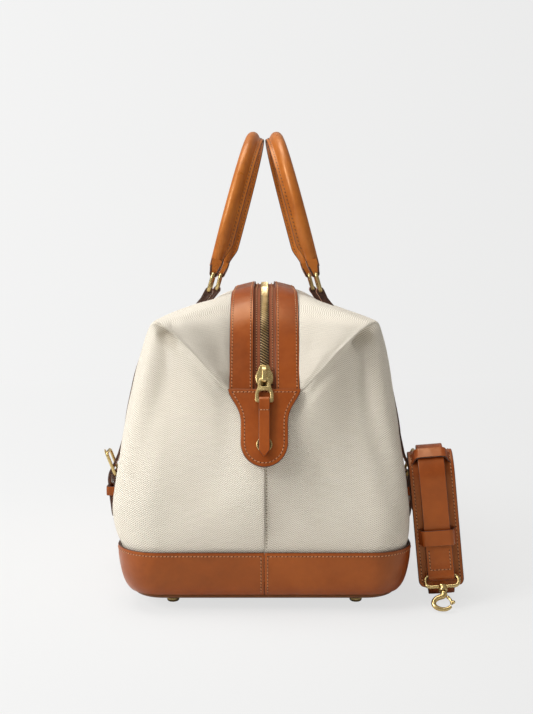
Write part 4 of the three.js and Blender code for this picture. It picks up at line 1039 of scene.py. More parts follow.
def skin(side, us, vs):
    """Canvas surface (len(us), len(vs), 3): v is -1..0 in the band, 0..1 up the wall, 1..2 the roof."""
    s = station_values(us)
    near = from_end(us)
    end = np.where(us <= U_SIDE, -1.0, 1.0)
    swell = 1.0 if side < 0 else RIGHT_SWELL
    x, y, nx, ny = outline(np.clip(s[:, 0], 0, QUARTER) / QUARTER / 2, LEATHER + 1.0)
    away = np.stack([side * nx, -end * ny, 0 * nx], 1)
    foot = np.stack([side * x, -end * y, np.full(len(x), BAND_TOP)], 1)
    rim = np.stack([side * s[:, 1], end * s[:, 2], s[:, 3]], 1)
    low = foot + away * (s[:, 5] * swell)[:, None]
    near_corner = np.exp(-(((near - 6) / 1.6) ** 2))
    low[:, 2] = BAND_TOP + (0.33 - 0.10 * near_corner) * (rim[:, 2] - BAND_TOP)
    high = rim + away * s[:, 6:7]
    high[:, 2] -= s[:, 7]
    run = end * s[:, 4]
    under = -LEATHER - 2 * GAP - 3 * (1 - smoothstep(near, 1.0, 2.0))
    drop = strip_drop(run, ROOF_EDGE_X) + under
    top = off_zip_line(run, side * (ROOF_EDGE_X * smoothstep(near, 0, 1.0)), drop)
    _, _, out_y, out_z = zip_line(run)
    out = np.stack([0 * out_y, out_y, out_z], 1)
    roof_low = rim + (top - rim) / 3 + out * s[:, 8:9]
    roof_high = rim + (top - rim) * 2 / 3 + out * s[:, 9:10]

    def span(a, b, c, d, t):
        return bezier(a[:, None], b[:, None], c[:, None], d[:, None], t[None, :, None])

    z = BAND_TOP + vs[vs < 0] * TUCK
    inside = foot[:, None] - away[:, None] * band_inset(z)[None, :, None]
    inside[..., 2] = z[None]
    wall = span(foot, low, high, rim, vs[(vs >= 0) & (vs <= 1)])
    roof = span(rim, roof_low, roof_high, top, vs[vs > 1] - 1)
    return np.concatenate([inside, wall, roof], 1)


def under_tab(grid):
    """Presses the cloth flat behind the leather tabs."""
    x, y, z = np.moveaxis(np.abs(grid), -1, 0)
    off = (y - SLOPE_Y) * math.sin(SLOPE) + (z - SLOPE_Z) * math.cos(SLOPE)
    near = (x < STRIP_OUTER + 2) & (z > TAB_Z[0]) & (z < TAB_Z[1])
    extra = np.where(near, np.maximum(off + 0.25, 0), 0)
    grid[..., 1] -= np.sign(grid[..., 1]) * extra * math.sin(SLOPE)
    grid[..., 2] -= extra * math.cos(SLOPE)
    return grid


def grid_normals(grid, side):
    """Unit normals that point out of the bag."""
    du, dv = np.gradient(grid, axis=0), np.gradient(grid, axis=1)
    return unit(np.cross(du, dv)) * side


def neighbours(grid):
    """Mean of the four neighbours of each inner point."""
    return (grid[:-2, 1:-1] + grid[2:, 1:-1] + grid[1:-1, :-2] + grid[1:-1, 2:]) / 4


def own_side(grid, side, least):
    """Keeps a half of the bag on its side of the middle plane."""
    grid[..., 0] = side * np.maximum(side * grid[..., 0], least)


def bell(x, middle, width):
    """Smooth bump of height 1 round a middle."""
    return np.exp(-(((x - middle) / width) ** 2))


def soften(grid, us, vs):
    """Rounds the ridge between wall and roof: tight on the folded ears, wide over the long sides."""
    near = from_end(us)
    wide = smoothstep(near, 5.2, 7.5)
    reach = (0.05 + 0.20 * wide)[:, None]
    for step in range(60):
        weight = bell(vs[None], 1, reach) * np.where(step < 3, 1.0, wide[:, None])
        weight = (weight * 0.5)[:, 1:-1, None]
        grid[:, 1:-1] = grid[:, 1:-1] * (1 - weight) + (grid[:, :-2] + grid[:, 2:]) * 0.5 * weight
    ear = np.exp(-(((near[:, None] - 4.6) / 1.3) ** 2) - ((vs[None] - 1) / 0.07) ** 2)[1:-1, 1:-1, None] * 0.8
    for _ in range(7):
        grid[1:-1, 1:-1] += (neighbours(grid) - grid[1:-1, 1:-1]) * ear
    return grid


def ripples(grid, vs, side):
    """Gentle slack in the cloth: broad hollows, and puckers above the sewn base band."""
    x, y, z = (grid[..., k] for k in range(3))
    broad = (np.sin(y * 0.031 + z * 0.022 + side) + np.sin(x * 0.036 - z * 0.041 + 1.7 * side)
             + 0.7 * np.sin((x + y) * 0.055 + z * 0.018 + 2.1))
    fine = np.sin(y * 0.115 + x * 0.13 + z * 0.07) * np.sin(z * 0.06 + y * 0.02 + side)
    pucker = np.sin((x - y) * 0.24 + 0.6 * np.sin(y * 0.05)) * np.exp(-np.maximum(z - BAND_TOP, 0) / 9)
    fade = np.clip(vs[None] * 6, 0, 1) * np.clip((2 - vs[None]) * 4, 0, 1)
    return (0.75 * broad + 0.3 * fine) * fade + 0.28 * pucker * np.clip(vs[None] * 20, 0, 1)


def settle(grid, us, vs):
    """How far the cloth sinks: between the rings, under each side strap, and below the folded ears."""
    near = from_end(us)
    fold = 13 * bell(near, 4.8, 0.7) + 3 * smoothstep(near, 0.8, 2.0) * (1 - smoothstep(near, 4.8, 5.8))
    hollow = fold[:, None] * bell(vs[None], 0.915, 0.055)
    y = np.abs(grid[..., 1])
    sag = np.interp(vs, [0.45, 0.7, 0.9, 1.0, 1.35, 1.7, 1.95], [0, 2.5, 6, 8, 7, 1.5, 0])[None]
    groove = np.interp(vs, [0.3, 0.45, 1.6, 1.75], [0, 1.3, 1.3, 0])[None]
    groove = groove * np.exp(-(((y - RING_Y) / 11) ** 4))
    return sag * (1 - smoothstep(y, 104, 152)) + groove + hollow


DRAPE_FRAMES = 12
DRAPE_CAP = 3.0
DRAPE_CLOTH = {"quality": 5, "mass": 0.12, "tension_stiffness": 25, "compression_stiffness": 25,
               "shear_stiffness": 10, "bending_stiffness": 0.6}


def simulated(start, sewn):
    """Where a cloth (n, m, 3) hangs after a short simulation in which its sewn points stay."""
    mesh = bpy.data.meshes.new("draped")
    mesh.from_pydata((start.reshape(-1, 3) * MM).tolist(), [], grid_quads(*start.shape[:2]).tolist())
    obj = linked("draped", mesh)
    pins = obj.vertex_groups.new(name="sewn")
    pins.add(np.flatnonzero(sewn.ravel()).tolist(), 1.0, "REPLACE")
    cloth = obj.modifiers.new("cloth", "CLOTH")
    for key, value in DRAPE_CLOTH.items():
        setattr(cloth.settings, key, value)
    cloth.settings.vertex_group_mass = pins.name
    cloth.settings.effector_weights.gravity = 0.5
    cloth.point_cache.frame_end = DRAPE_FRAMES
    scene = bpy.context.scene
    for step in range(1, DRAPE_FRAMES + 1):
        scene.frame_set(step)
    settled = obj.evaluated_get(bpy.context.evaluated_depsgraph_get()).data
    ends = np.zeros(start.size, np.float32)
    settled.vertices.foreach_get("co", ends)
    scene.frame_set(1)
    bpy.data.objects.remove(obj)
    bpy.data.meshes.remove(mesh)
    return ends.reshape(start.shape) / MM


def every_other(count):
    """Indices 0, 2, 4, ... and always the last one."""
    return np.unique(np.append(np.arange(0, count, 2), count - 1))


def drape(grid, us, vs):
    """Lets the cloth sag and crease as a coarse copy of it does, by no more than DRAPE_CAP."""
    rows, cols = every_other(len(us)), every_other(len(vs))
    start = grid[np.ix_(rows, cols)]
    u, v = from_end(us)[rows][:, None], vs[cols][None]
    sewn = (v < 0.04) | (v > 1.80) | (u < 0.25) | ((u < 6) & (np.abs(v - 1) < 0.03))
    move = simulated(start, sewn) - start
    size = np.linalg.norm(move, axis=-1, keepdims=True)
    move = move * np.minimum(1, DRAPE_CAP / np.maximum(size, 1e-6))
    for _ in range(10):
        move[1:-1, 1:-1] = (move[1:-1, 1:-1] + neighbours(move)) / 2
    wide = np.stack([at_runs(vs, vs[cols], line) for line in move])
    return grid + np.stack([at_runs(us, us[rows], wide[:, b]) for b in range(len(vs))], 1)


def canvas_grid(side):
    """Finished outer face of one half, with the places (us, vs) of its rows and columns."""
    near_seam = np.array([0, 0.012, 0.03, 0.06, 0.12, 0.22])
    half = np.concatenate([near_seam, np.linspace(0.34, U_SIDE, 84)])
    us = np.concatenate([half, U_END - half[::-1][1:]])
    vs = np.concatenate([np.linspace(*span) for span in ((-1, -0.05, 4), (0, 0.8, 46), (0.81, 1.2, 44),
                                                         (1.22, 2, 30))])
    grid = soften(skin(side, us, vs), us, vs)
    grid = grid + grid_normals(grid, side) * (ripples(grid, vs, side) - settle(grid, us, vs))[..., None]
    grid = drape(grid, us, vs)
    grid = under_tab(grid)
    seam = bell(grid[..., 0], 0, 1.3) * 0.5
    grid = grid - grid_normals(grid, side) * seam[..., None]
    own_side(grid, side, SEAM_GAP)
    return us, vs, grid


def sheet(grid, inner):
    """Closed shell between two grids of the same size."""
    n, m = grid.shape[:2]
    quad = grid_quads(n, m)
    size = n * m
    rim = np.concatenate([np.arange(m), np.arange(1, n) * m + m - 1, (n - 1) * m + np.arange(m - 2, -1, -1),
                          np.arange(n - 2, 0, -1) * m])
    after = np.roll(rim, -1)
    walls = np.stack([rim, after, after + size, rim + size], 1)
    faces = quad.tolist() + (quad[:, ::-1] + size).tolist() + walls.tolist()
    return np.concatenate([grid.reshape(-1, 3), inner.reshape(-1, 3)]), faces, [0] * len(faces)


def cloth_uv(grid):
    """Distances along the cloth in millimetres, so that the weave keeps its size."""
    across = np.linalg.norm(np.diff(grid, axis=0), axis=2).mean(1)
    up = np.linalg.norm(np.diff(grid, axis=1), axis=2)
    u = np.concatenate([[0], np.cumsum(across)])
    v = np.concatenate([np.zeros((grid.shape[0], 1)), np.cumsum(up, axis=1)], 1)
    flat = np.stack([np.broadcast_to(u[:, None], grid.shape[:2]), v], -1).reshape(-1, 2)
    return np.concatenate([flat, flat])


# Each half's us, vs and finished grid, for the pieces that lie on the cloth.
GRIDS = {}


def build_lining():
    """Cotton tub that hangs a little inside the canvas, all round and over the base."""
    _, vs, _ = GRIDS[1]
    keep = np.flatnonzero((vs <= 0.9) & ((np.arange(len(vs)) % 3 == 0) | (vs < 0.02)))
    faces = []
    for inset in (0.0, LINING_THICK):
        halves = []
        for side in (1, -1):
            grid = GRIDS[side][2]
            inside = grid - grid_normals(grid, side) * (LINING_DEPTH + inset)
            own_side(inside, side, LINING_THICK / 2)
            inside[..., 2] += inset
            halves.append(inside[::2, keep][::side])
        faces.append(np.concatenate(halves))
    outer, inner = (np.moveaxis(face, 0, 1) for face in faces)
    piece("lining_cotton", "bag", loft(np.concatenate([outer, inner[::-1]])), [LINING], ["lining"])


def seam_stitches():
    """Rows up both ends, on the right half just beside the seam."""
    _, vs, grid = GRIDS[1]
    rows = []
    for row in (grid[3], grid[-4]):
        line = row[(vs > 0.02) & (row[:, 2] < 205) & (vs <= 1)]
        ny = np.sign(line[:, 1])
        tilt = np.gradient(line[:, 1], line[:, 2])
        normal = unit(np.stack([0 * ny, ny, -tilt * ny], 1))
        rows.append(stitches(line + normal * 0.2, normal, pitch=3.2, radius=0.35))
    return merge(*rows)


def build_canvas():
    for side, name in SIDES:
        GRIDS[side] = canvas_grid(side)
        grid = GRIDS[side][2]
        inner = grid - grid_normals(grid, side) * CLOTH
        own_side(inner, side, SEAM_GAP)
        piece(f"canvas_shell_{name}", "bag", sheet(grid, inner), [CANVAS], [f"canvas_{name}"],
              sharp=60, uv=cloth_uv(grid))
    build_lining()
    piece("canvas_seam_stitches", "bag", seam_stitches(), [CANVAS_THREAD, CANVAS_HOLE_SHADE])


# ------------------------------------------------------------------ handles and rings
ring_foot = np.abs(joint_point("ring_front_left_hinge"))
ring_top = np.abs(joint_point("handle_left_hinge"))
RING_LEAN = math.atan2(ring_foot[0] - ring_top[0], ring_top[2] - ring_foot[2])
RING_HEIGHT = 19.0
RING_HALF = 13.5
# Radius at which a strap's middle passes round a ring or a heel bar.
ROUND_BAR = 3.45
HANDLE_TOP_Z = 466.0
HANDLE_TOP_X = 12.5
HANDLE_LINE = [(85, 322), (86.5, 335), (92, 365), (88, 405), (70, 440), (40, 460), (0, 466)]
HANDLE_ROLL = 6.7
FLANGE_HALF = 1.75
FLANGE_REACH = 12.0


def spline(points, count):
    """Evenly spaced points on a smooth curve through points."""
    points = np.asarray(points, float)
    dense = []
    padded = np.concatenate([[2 * points[0] - points[1]], points, [2 * points[-1] - points[-2]]])
    t = np.linspace(0, 1, 24, endpoint=False)[:, None]
    for k in range(len(points) - 1):
        dense.append(through(*padded[k:k + 4], t))
    dense = np.concatenate(dense + [points[-1:]])
    run = run_along(dense)
    return at_runs(np.linspace(0, run[-1], count), run, dense)


def handle_path(side, count):
    """Line of a handle from its front ring over the top to its back ring."""
    rise = HANDLE_TOP_Z - ring_top[2]
    out = ring_top[0] - HANDLE_TOP_X
    half = [(side * (HANDLE_TOP_X + (HANDLE_TOP_Z - z) / rise * out), y, z) for y, z in HANDLE_LINE]
    return relax(spline(half + [(x, -y, z) for x, y, z in half[:-1][::-1]], count), 3)


def filling(points, half_width):
    """Solid leather inside a folded strap, from the closed outline (n, 2) of its fold."""
    rings = [np.column_stack([np.full(len(points), x), points]) for x in (-half_width, half_width)]
    return loft(np.stack(rings))


def rounded_loop(half_w, low, high, radius):
    """Closed rounded rectangle (x, z)."""
    inner = half_w - radius
    return np.concatenate([arc(sx * inner, high - radius if sz > 0 else low + radius, radius, a, a + 90, 8)
                           for sx, sz, a in CORNERS])


def handle_body(points, flange, across, reach):
    """Leather rolled round a cord, its two edges sewn together as a flange below the roll."""
    root = math.asin(FLANGE_HALF / HANDLE_ROLL) + 0.42
    a = np.linspace(root, 2 * math.pi - root, 30)
    roll = np.stack([HANDLE_ROLL * np.cos(a), HANDLE_ROLL * np.sin(a)], 1)
    fillet = np.array([[7.4, FLANGE_HALF + 0.25], [6.9, FLANGE_HALF + 0.8]])
    rings = []
    for p, g, tip in zip(points, across, reach):
        ease = np.clip((tip - 6.6) / 5.4, 0, 1)
        edge = [(tip, FLANGE_HALF - 0.6), (tip - 0.5, FLANGE_HALF - 0.1), (tip - 1.4, FLANGE_HALF)]
        top = path(edge, fillet * [ease, 1] + [(1 - ease) * 5.9, 0])
        section = np.concatenate([top, roll, (top * [1, -1])[::-1]])
        rings.append(p + flange * section[:, :1] + g * section[:, 1:])
    rings = np.array(rings)
    slots = np.zeros(rings.shape[1], int)
    slots[[0, -1, -2]] = 1
    return loft(rings, slots=slots, cap_slot=1)


def handle_lugs(side):
    """Folded leather ends that hold a handle's two rings."""
    way = path([(-5.2, 15), (-5.1, 10.5), (-4.4, 5)], arc(0, 0, ROUND_BAR, 165, 375, 20),
               [(4.4, 5), (5.1, 10.5), (5.2, 15)])
    way = smooth(way, 0.8, 3)
    section, slots = rounded(8.4, 1.05, 0.55, crown=0.1, flat=8)
    fold = strap(upright(way), (0, 1, 0), section, slots, 1 - 0.22 * smoothstep(way[:, 1], 6, 14))
    core = placed(filling(way, 8.0), turn("z", math.pi / 2))
    lugs = []
    for y in (-RING_Y, RING_Y):
        m = shift(side * ring_top[0], y, ring_top[2]) @ turn("y", -side * RING_LEAN)
        lugs += [placed(fold, m), placed(core, m)]
    return lugs


def build_handle(side, name):
    lean = math.atan2(ring_top[0] - HANDLE_TOP_X, HANDLE_TOP_Z - ring_top[2])
    flange = np.array([-side * math.cos(lean), 0, -math.sin(lean)])
    points = handle_path(side, 190)
    across = unit(np.cross(unit(np.gradient(points, axis=0)), flange))
    least = HANDLE_ROLL - 0.6
    reach = least + (FLANGE_REACH - HANDLE_ROLL + 0.6) * smoothstep(points[:, 2], 328, 350)
    body = merge(handle_body(points, flange, across, reach), *handle_lugs(side))
    node = f"handle_{name}"
    piece(f"{node}_leather", node, body, [LEATHER_HANDLE_LIT, EDGE], [node])
    rows = []
    keep = reach > HANDLE_ROLL + 1.6
    for face in (-1, 1):
        line = points[keep] + flange * (reach[keep, None] - 3.2) + across[keep] * face * (FLANGE_HALF + 0.05)
        rows.append(stitches(line, across[keep] * face, pitch=4.0, slant=0.5))
    piece(f"{node}_stitches", node, merge(*rows), [EDGE, HOLE_SHADE])


def build_rings():
    ring = wire_loop(in_plane(rounded_loop(RING_HALF, 0, RING_HEIGHT, 4.2)), 1.2, 2.0, 18)
    for side, name in SIDES:
        for end, end_name in ENDS:
            m = shift(side * ring_foot[0], end * RING_Y, ring_foot[2]) @ turn("y", -side * RING_LEAN)
            brass_piece(f"ring_{end_name}_{name}", ring, m)


# ------------------------------------------------------------------ side straps and buckles
HEEL_OUT = 8.0
FRAME_TILT = math.radians(20.8)
FRAME_HEIGHT = 25.5
BUCKLE_WAY = [(5, 22), (10, 11), (14.6, 2), (15.7, -5), (15, -13), (14.2, -22), (12.9, -32), (11.4, -46)]
KEEPER_Z = -17.0
KEEPER_WALL = 1.6
KEEPER_OUT = 18.2


def girth(side, y):
    """Outline of the canvas at one Y, as distance from the middle and height, from base to zip."""
    _, vs, grid = GRIDS[side]
    columns = [(np.interp(y, grid[:, j, 1], side * grid[:, j, 0]), np.interp(y, grid[:, j, 1], grid[:, j, 2]))
               for j in range(len(vs))]
    return np.array(columns), vs


def local_side(side, y, face, z):
    """Local frame on a side of the bag: X runs along the bag, Y stands out from it, Z is up."""
    spin = turn("z", math.pi / 2 if side < 0 else -math.pi / 2)
    return shift(side * face, y, z) @ spin


def build_buckle(tag, half_width, m):
    """Frame and prong of a buckle on its heel bar: the strap's frame m has the heel bar beside it."""
    m = m @ shift(y=HEEL_OUT) @ turn("x", -FRAME_TILT)
    buckle = wire_loop(upright(rounded_loop(half_width, 0, FRAME_HEIGHT, 3.4)), 1.2, 1.62, 16)
    brass_piece(f"buckle_{tag}", buckle, m)
    a = circle(28)
    eye = tube(in_plane(np.stack([2.6 * np.cos(a), 2.6 * np.sin(a)], 1)), 0.85, 10, closed=True)
    way = [(2.5, 1.5), (3.1, 6), (3.35, 14), (3.45, FRAME_HEIGHT - 1), (2.9, FRAME_HEIGHT + 3.2)]
    points = in_plane(smooth(way, 0.9, 2))
    radius = np.interp(np.linspace(0, 1, len(points)), [0, 0.1, 0.9, 1], [1.0, 1.15, 1.0, 0.5])
    brass_piece(f"prong_{tag}", merge(eye, tube(points, radius, 12)), m)


def chape_way(low):
    """Way (y, z) of a chape from low behind the strap, round the heel bar and a little down again."""
    return path([low, (2.2, -30), (4.7, -23), (5, -12), (4.6, -5)], arc(HEEL_OUT, 0, ROUND_BAR, 180, 0, 14),
                [(9.6, -8), (9.4, -13)])


def keeper_part(half_width, seat=0.0):
    """Leather loop round the strap."""
    half = KEEPER_WALL / 2
    loop = rounded_loop(half_width + half, 2 + seat + half, KEEPER_OUT - half, 2.2)
    points = resample_loop(np.column_stack([loop, np.full(len(loop), KEEPER_Z)]), 1.0)
    section, slots = rounded(4.9, half, 0.5, crown=0.15, flat=8)
    along = np.array([0, 0, 1.0])
    normal = np.cross(loop_tangents(points), along)
    rings = points[:, None] + along * section[None, :, :1] + normal[:, None] * section[None, :, 1:]
    return loft(rings, closed=True, slots=slots)


def tip_widths(points, length, low=0.25):
    """Widths that round off the far end of a strap."""
    run = run_along(points)
    left = np.clip((run[-1] - run) / length, 0, 1)
    return low + (1 - low) * np.sqrt(np.clip(1 - (1 - left) ** 2, 0, 1))


def edge_rows(points, side, inset, lift):
    """Two lines near the edges of a strap, with the normals of its outer face."""
    s, normal = frames_of(points, side)
    return [(points + s * sign * inset + normal * lift, normal) for sign in (-1, 1)]


def side_strap_way(side, y, origin):
    """Way (y, z) from under the roof, round the ring's bar, down the wall and through the buckle."""
    body, vs = girth(side, y)
    body, vs = body[vs >= 0], vs[vs >= 0]
    way = unit(np.gradient(body, axis=0))
    out = np.stack([way[:, 1], -way[:, 0]], 1)

    def follow(v_from, v_to, offset, parts):
        return at_runs(np.linspace(v_from, v_to, parts), vs, body + out * offset)

    under = follow(1.36, 1.56, 2.3, 8)
    ease = smoothstep(np.linspace(0, 1, 60), 0.2, 0.4)[:, None]
    over = follow(1.52, 0.36, 4.9, 60) * (1 - ease) + follow(1.52, 0.36, 2.5, 60) * ease
    bar = np.array([ring_foot[0], ring_foot[2]])
    way = path(under - origin, arc(*(bar - origin), ROUND_BAR, 245, 60, 16), over - origin, BUCKLE_WAY)
    return smooth(way, 1.2, 3)


def build_side_strap(side, end, end_name, name):
    tag = f"{end_name}_{name}"
    hinge = joint_point(f"buckle_{tag}_hinge")
    face = abs(hinge[0]) - HEEL_OUT
    m = local_side(side, end * RING_Y, face, hinge[2])
    way = side_strap_way(side, end * RING_Y, np.array([face, hinge[2]]))
    points = in_plane(way)
    half = STRAP_WIDTH / 2
    section, slots = rounded(half, STRAP / 2, 0.6, crown=0.2, groove=0.15, flat=20)
    strip = strap(points, (-1, 0, 0), section, slots, tip_widths(points, 9))
    fold = recoloured(filling(way[:34], half - 0.3), 1)
    leather_piece(f"strap_{tag}", "bag", placed(merge(strip, fold), m), f"side_strap_{tag}")
    lines = edge_rows(points, (-1, 0, 0), half - 2.4, STRAP / 2 + 0.12)
    rows = [stitches(line[23:-6], normals[23:-6]) for line, normals in lines]
    thread_piece(f"strap_stitches_{tag}", "bag", rows, m)
    section, slots = rounded(half, STRAP / 2, 0.6, flat=8)
    chape = strap(in_plane(smooth(chape_way((1.9, -42)), 1.0, 2)), (-1, 0, 0), section, slots)
    leather_piece(f"chape_{tag}_leather", "bag", placed(chape, m), f"chape_{tag}")
    leather_piece(f"keeper_{tag}_leather", "bag", placed(keeper_part(half + 0.4), m), f"keeper_{tag}")
    low, high = box_mm(f"buckle_{tag}")
    build_buckle(tag, (high[1] - low[1]) / 2 - 1.6, m)


# ------------------------------------------------------------------ shoulder strap
COIL_TURN = math.radians(-6)
COIL_LEAN = math.radians(-5.6)
COIL_PLACE = (171.0, -207.0, 0.0)
COIL_MIDDLE = 28.0
COIL_TOP = 121.0
# Heel bar of the buckle (y, z), and the places (y, z, tilt) where the two hooks' bails hang.
BACK_BUCKLE = (54.3, 58.0)
SHOULDER_HALF = 12.5
SHOULDER = 2.4
PAD_HALF = 21.5
PAD = 3.5
PAD_Y = 6.6
HOOK_A = (-0.2, 28.0, -math.pi / 4)
HOOK_B = (32.6, 84.0, 0.0)


def bail_fold(y, z):
    """Turn of a strap round the bail of a hook."""
    return arc(y, z, 3.3, 35, -215, 22)


def at_back_buckle(points):
    """Places told from the shoulder buckle's heel, which hangs upside down in the coil."""
    y, z = BACK_BUCKLE
    return np.array([(y + o, z - h) for o, h in points])


def long_strap_way():
    """Way (y, z) from hook A's bail up over the coil and down to the buckle."""
    way = path([(1.3, 56), (1.35, 40)], bail_fold(*HOOK_A[:2]), [(-1.6, 40), (-1.5, 54), (0, 66), (0, 97)],
               arc(COIL_MIDDLE, COIL_TOP, COIL_MIDDLE, 180, 0, 40), [(56, 101)],
               at_back_buckle(chape_way((1.7, -42))))
    return smooth(way, 1.2, 2)


def short_strap_way():
    """Way (y, z) from the strap's tip through the buckle and twice round the coil to hook B's bail."""
    way = path(at_back_buckle(BUCKLE_WAY[::-1]), arc(33.75, 25, 22.25, 0, -180, 34),
               arc(COIL_MIDDLE, COIL_TOP, 16.5, 180, 0, 26), arc(30.75, 37, 13.75, 0, -180, 26),
               arc(26, 118, 8, 180, 0, 18), [(34, 100)], bail_fold(*HOOK_B[:2]), [(31.2, 98), (31.2, 108)])
    return smooth(way, 1.2, 2)


def box_stitches(way):
    """Stitches that close the fold above hook A, on the strap's outer face."""
    near = way[(way[:, 1] > 32) & (way[:, 1] < 56) & (way[:, 0] < -1)]
    box = resample([(-9.6, 53), (-9.6, 35), (9.6, 35), (9.6, 53)], 1.0)
    depth = np.interp(box[:, 1], near[:, 1], near[:, 0]) - SHOULDER / 2 - 0.14
    return stitches(np.column_stack([box[:, 0], depth, box[:, 1]]), (0, -1, 0))


def build_shoulder_strap():
    m = shift(*COIL_PLACE) @ turn("z", COIL_TURN) @ turn("y", COIL_LEAN)
    section, slots = rounded(SHOULDER_HALF, SHOULDER / 2, 0.7, crown=0.2, groove=0.15, flat=26)
    by, bz = BACK_BUCKLE
    way = long_strap_way()
    long_part = strap(in_plane(way), (-1, 0, 0), section, slots)
    keeper = placed(keeper_part(SHOULDER_HALF + 0.5, 0.6), shift(y=by, z=bz) @ turn("y", math.pi))
    both = placed(merge(long_part, keeper), m)
    leather_piece("shoulder_long", "shoulder_strap", both, "shoulder_strap_long")
    points = in_plane(short_strap_way())
    short_part = strap(points, (1, 0, 0), section, slots, tip_widths(points[::-1], 9)[::-1])
    leather_piece("shoulder_short", "shoulder_strap", placed(short_part, m), "shoulder_strap_short")
    rows = [box_stitches(way), build_pad(m)]
    thread_piece("shoulder_stitches", "shoulder_strap", rows, m)
    build_buckle("shoulder", SHOULDER_HALF + 2.5, m @ shift(y=by, z=bz) @ turn("y", math.pi))
    for tag, (y, z, tilt) in (("a", HOOK_A), ("b", HOOK_B)):
        build_hook(tag, m @ shift(y=y, z=z) @ turn("x", tilt))


def pad_bridge(front, height):
    """Band of leather over the strap, with its feet on the pad."""
    inner = SHOULDER_HALF + 0.5
    back = PAD_Y - 2.3
    half = [(0, front - 0.3), (inner - 1.2, front), (inner + 1.4, front + 1.4), (inner + 3.2, back),
            (inner + 6, back + 2.2)]
    way = smooth([(-x, y) for x, y in half[:0:-1]] + half, 0.8, 3)
    section, slots = rounded(height / 2, 0.8, 0.5, crown=0.2, flat=10)
    return strap(np.column_stack([way, np.zeros(len(way))]), (0, 0, 1), section, slots)


def build_pad(m):
    """Shoulder pad with its two bridges; returns the stitch rows along its edges."""
    way = path([(PAD_Y, 16), (PAD_Y, 97)], arc(COIL_MIDDLE, COIL_TOP, COIL_MIDDLE - PAD_Y, 180, 0, 40),
               [(2 * COIL_MIDDLE - PAD_Y, 78)])
    points = in_plane(smooth(way, 1.2, 2))
    section, slots = rounded(PAD_HALF, PAD / 2, 1.0, groove=0.25, flat=40)
    both = np.minimum(tip_widths(points, 7, 0.72), tip_widths(points[::-1], 7, 0.72)[::-1])
    pad = strap(points, (-1, 0, 0), section, slots, both)
    low = placed(pad_bridge(-4.0, 15), shift(z=65.5))
    over = shift(y=COIL_MIDDLE, z=COIL_TOP) @ turn("x", math.radians(-52)) @ shift(y=-COIL_MIDDLE)
    pad = merge(pad, low, placed(pad_bridge(-2.8, 12), over))
    leather_piece("shoulder_pad_leather", "shoulder_strap", placed(pad, m), "shoulder_pad")
    rows = edge_rows(points[5:-5], (1, 0, 0), PAD_HALF - 3.4, PAD / 2 + 0.1)
    return merge(*[stitches(line, normal) for line, normal in rows])


BAIL_HALF = 15.5
BAIL_DROP = 11.0
HOOK_CENTRE = -28.0
HOOK_RADIUS = 6.6


def on_hook(degrees, radius=HOOK_RADIUS):
    """Point at an angle round the middle of the hook's bend."""
    q = math.radians(degrees)
    return radius * math.cos(q), 0, HOOK_CENTRE + radius * math.sin(q)


def build_hook(tag, m):
    """Snap hook hanging from a bail: the bail and its boss, the swivelling hook, and the gate."""
    bail = wire_loop(upright(rounded_loop(BAIL_HALF, -BAIL_DROP, 0, 4.6)), 1.0, 1.8, 16)
    boss = lathe([(1.75, -5.4), (3.6, -5.3), (4.15, -4.6), (4.2, -3), (3.9, -0.6), (4.15, 0.3), (3.4, 1.3),
                  (2.0, 1.6), (1.75, 1.6)], 28)
    brass_piece(f"bail_{tag}", merge(bail, placed(boss, shift(z=-BAIL_DROP))), m)
    stem = lathe([(0, -10.5), (1.9, -10.4), (2.6, -9.2), (2.9, -7.6), (2.7, -6.2), (1.4, -5.9), (1.3, -2.4),
                  (0, -2.2)], 24)
    a = np.radians(np.linspace(92, 325, 46))
    long_side = np.where(np.cos(a) < 0, 1.55, 1.0)
    bend = np.stack([HOOK_RADIUS * np.cos(a) * long_side, 0 * a, HOOK_CENTRE + HOOK_RADIUS * np.sin(a)], 1)
    wire = smooth(np.vstack([[1.2, 0, HOOK_CENTRE + HOOK_RADIUS + 3.2], bend]), 0.8, 6)
    thick = np.interp(np.linspace(0, 1, len(wire)), [0, 0.2, 0.6, 1], [2.9, 2.5, 2.2, 1.6])
    brass_piece(f"hook_{tag}", merge(placed(stem, shift(z=-BAIL_DROP)), tube(wire, thick, 16)), m)
    bar = tube(resample([on_hook(q) for q in (56, 30, 5, -16)], 0.8), 1.35, 12)
    thumb = ball(1.75, on_hook(2, HOOK_RADIUS + 1.7))
    brass_piece(f"gate_{tag}", merge(bar, thumb, ball(1.7, on_hook(54))), m)


# ------------------------------------------------------------------ hidden CAD pieces that stay
def finish_cad_node(name, material):
    """Gives a CAD piece that stays in the model its own material."""
    mesh = frame["nodes"][name].data
    mesh.materials.clear()
    mesh.materials.append(material)


# ------------------------------------------------------------------ stage
CAMERA_AT = np.array([2.0, -1141.2, 309.8])
CAMERA_PITCH = math.radians(4.468)
# Focal length as a multiple of the picture's height.
FOCAL_SHARE = 1002.0 / 714.0
FLOOR_SIDE = 7000.0
LAMP_COLOUR = (1.0, 0.995, 0.985)
AIR_COLOUR = (1.0, 0.955, 0.89, 1)
WALL_COLOUR = (0.86, 0.86, 0.857, 1)


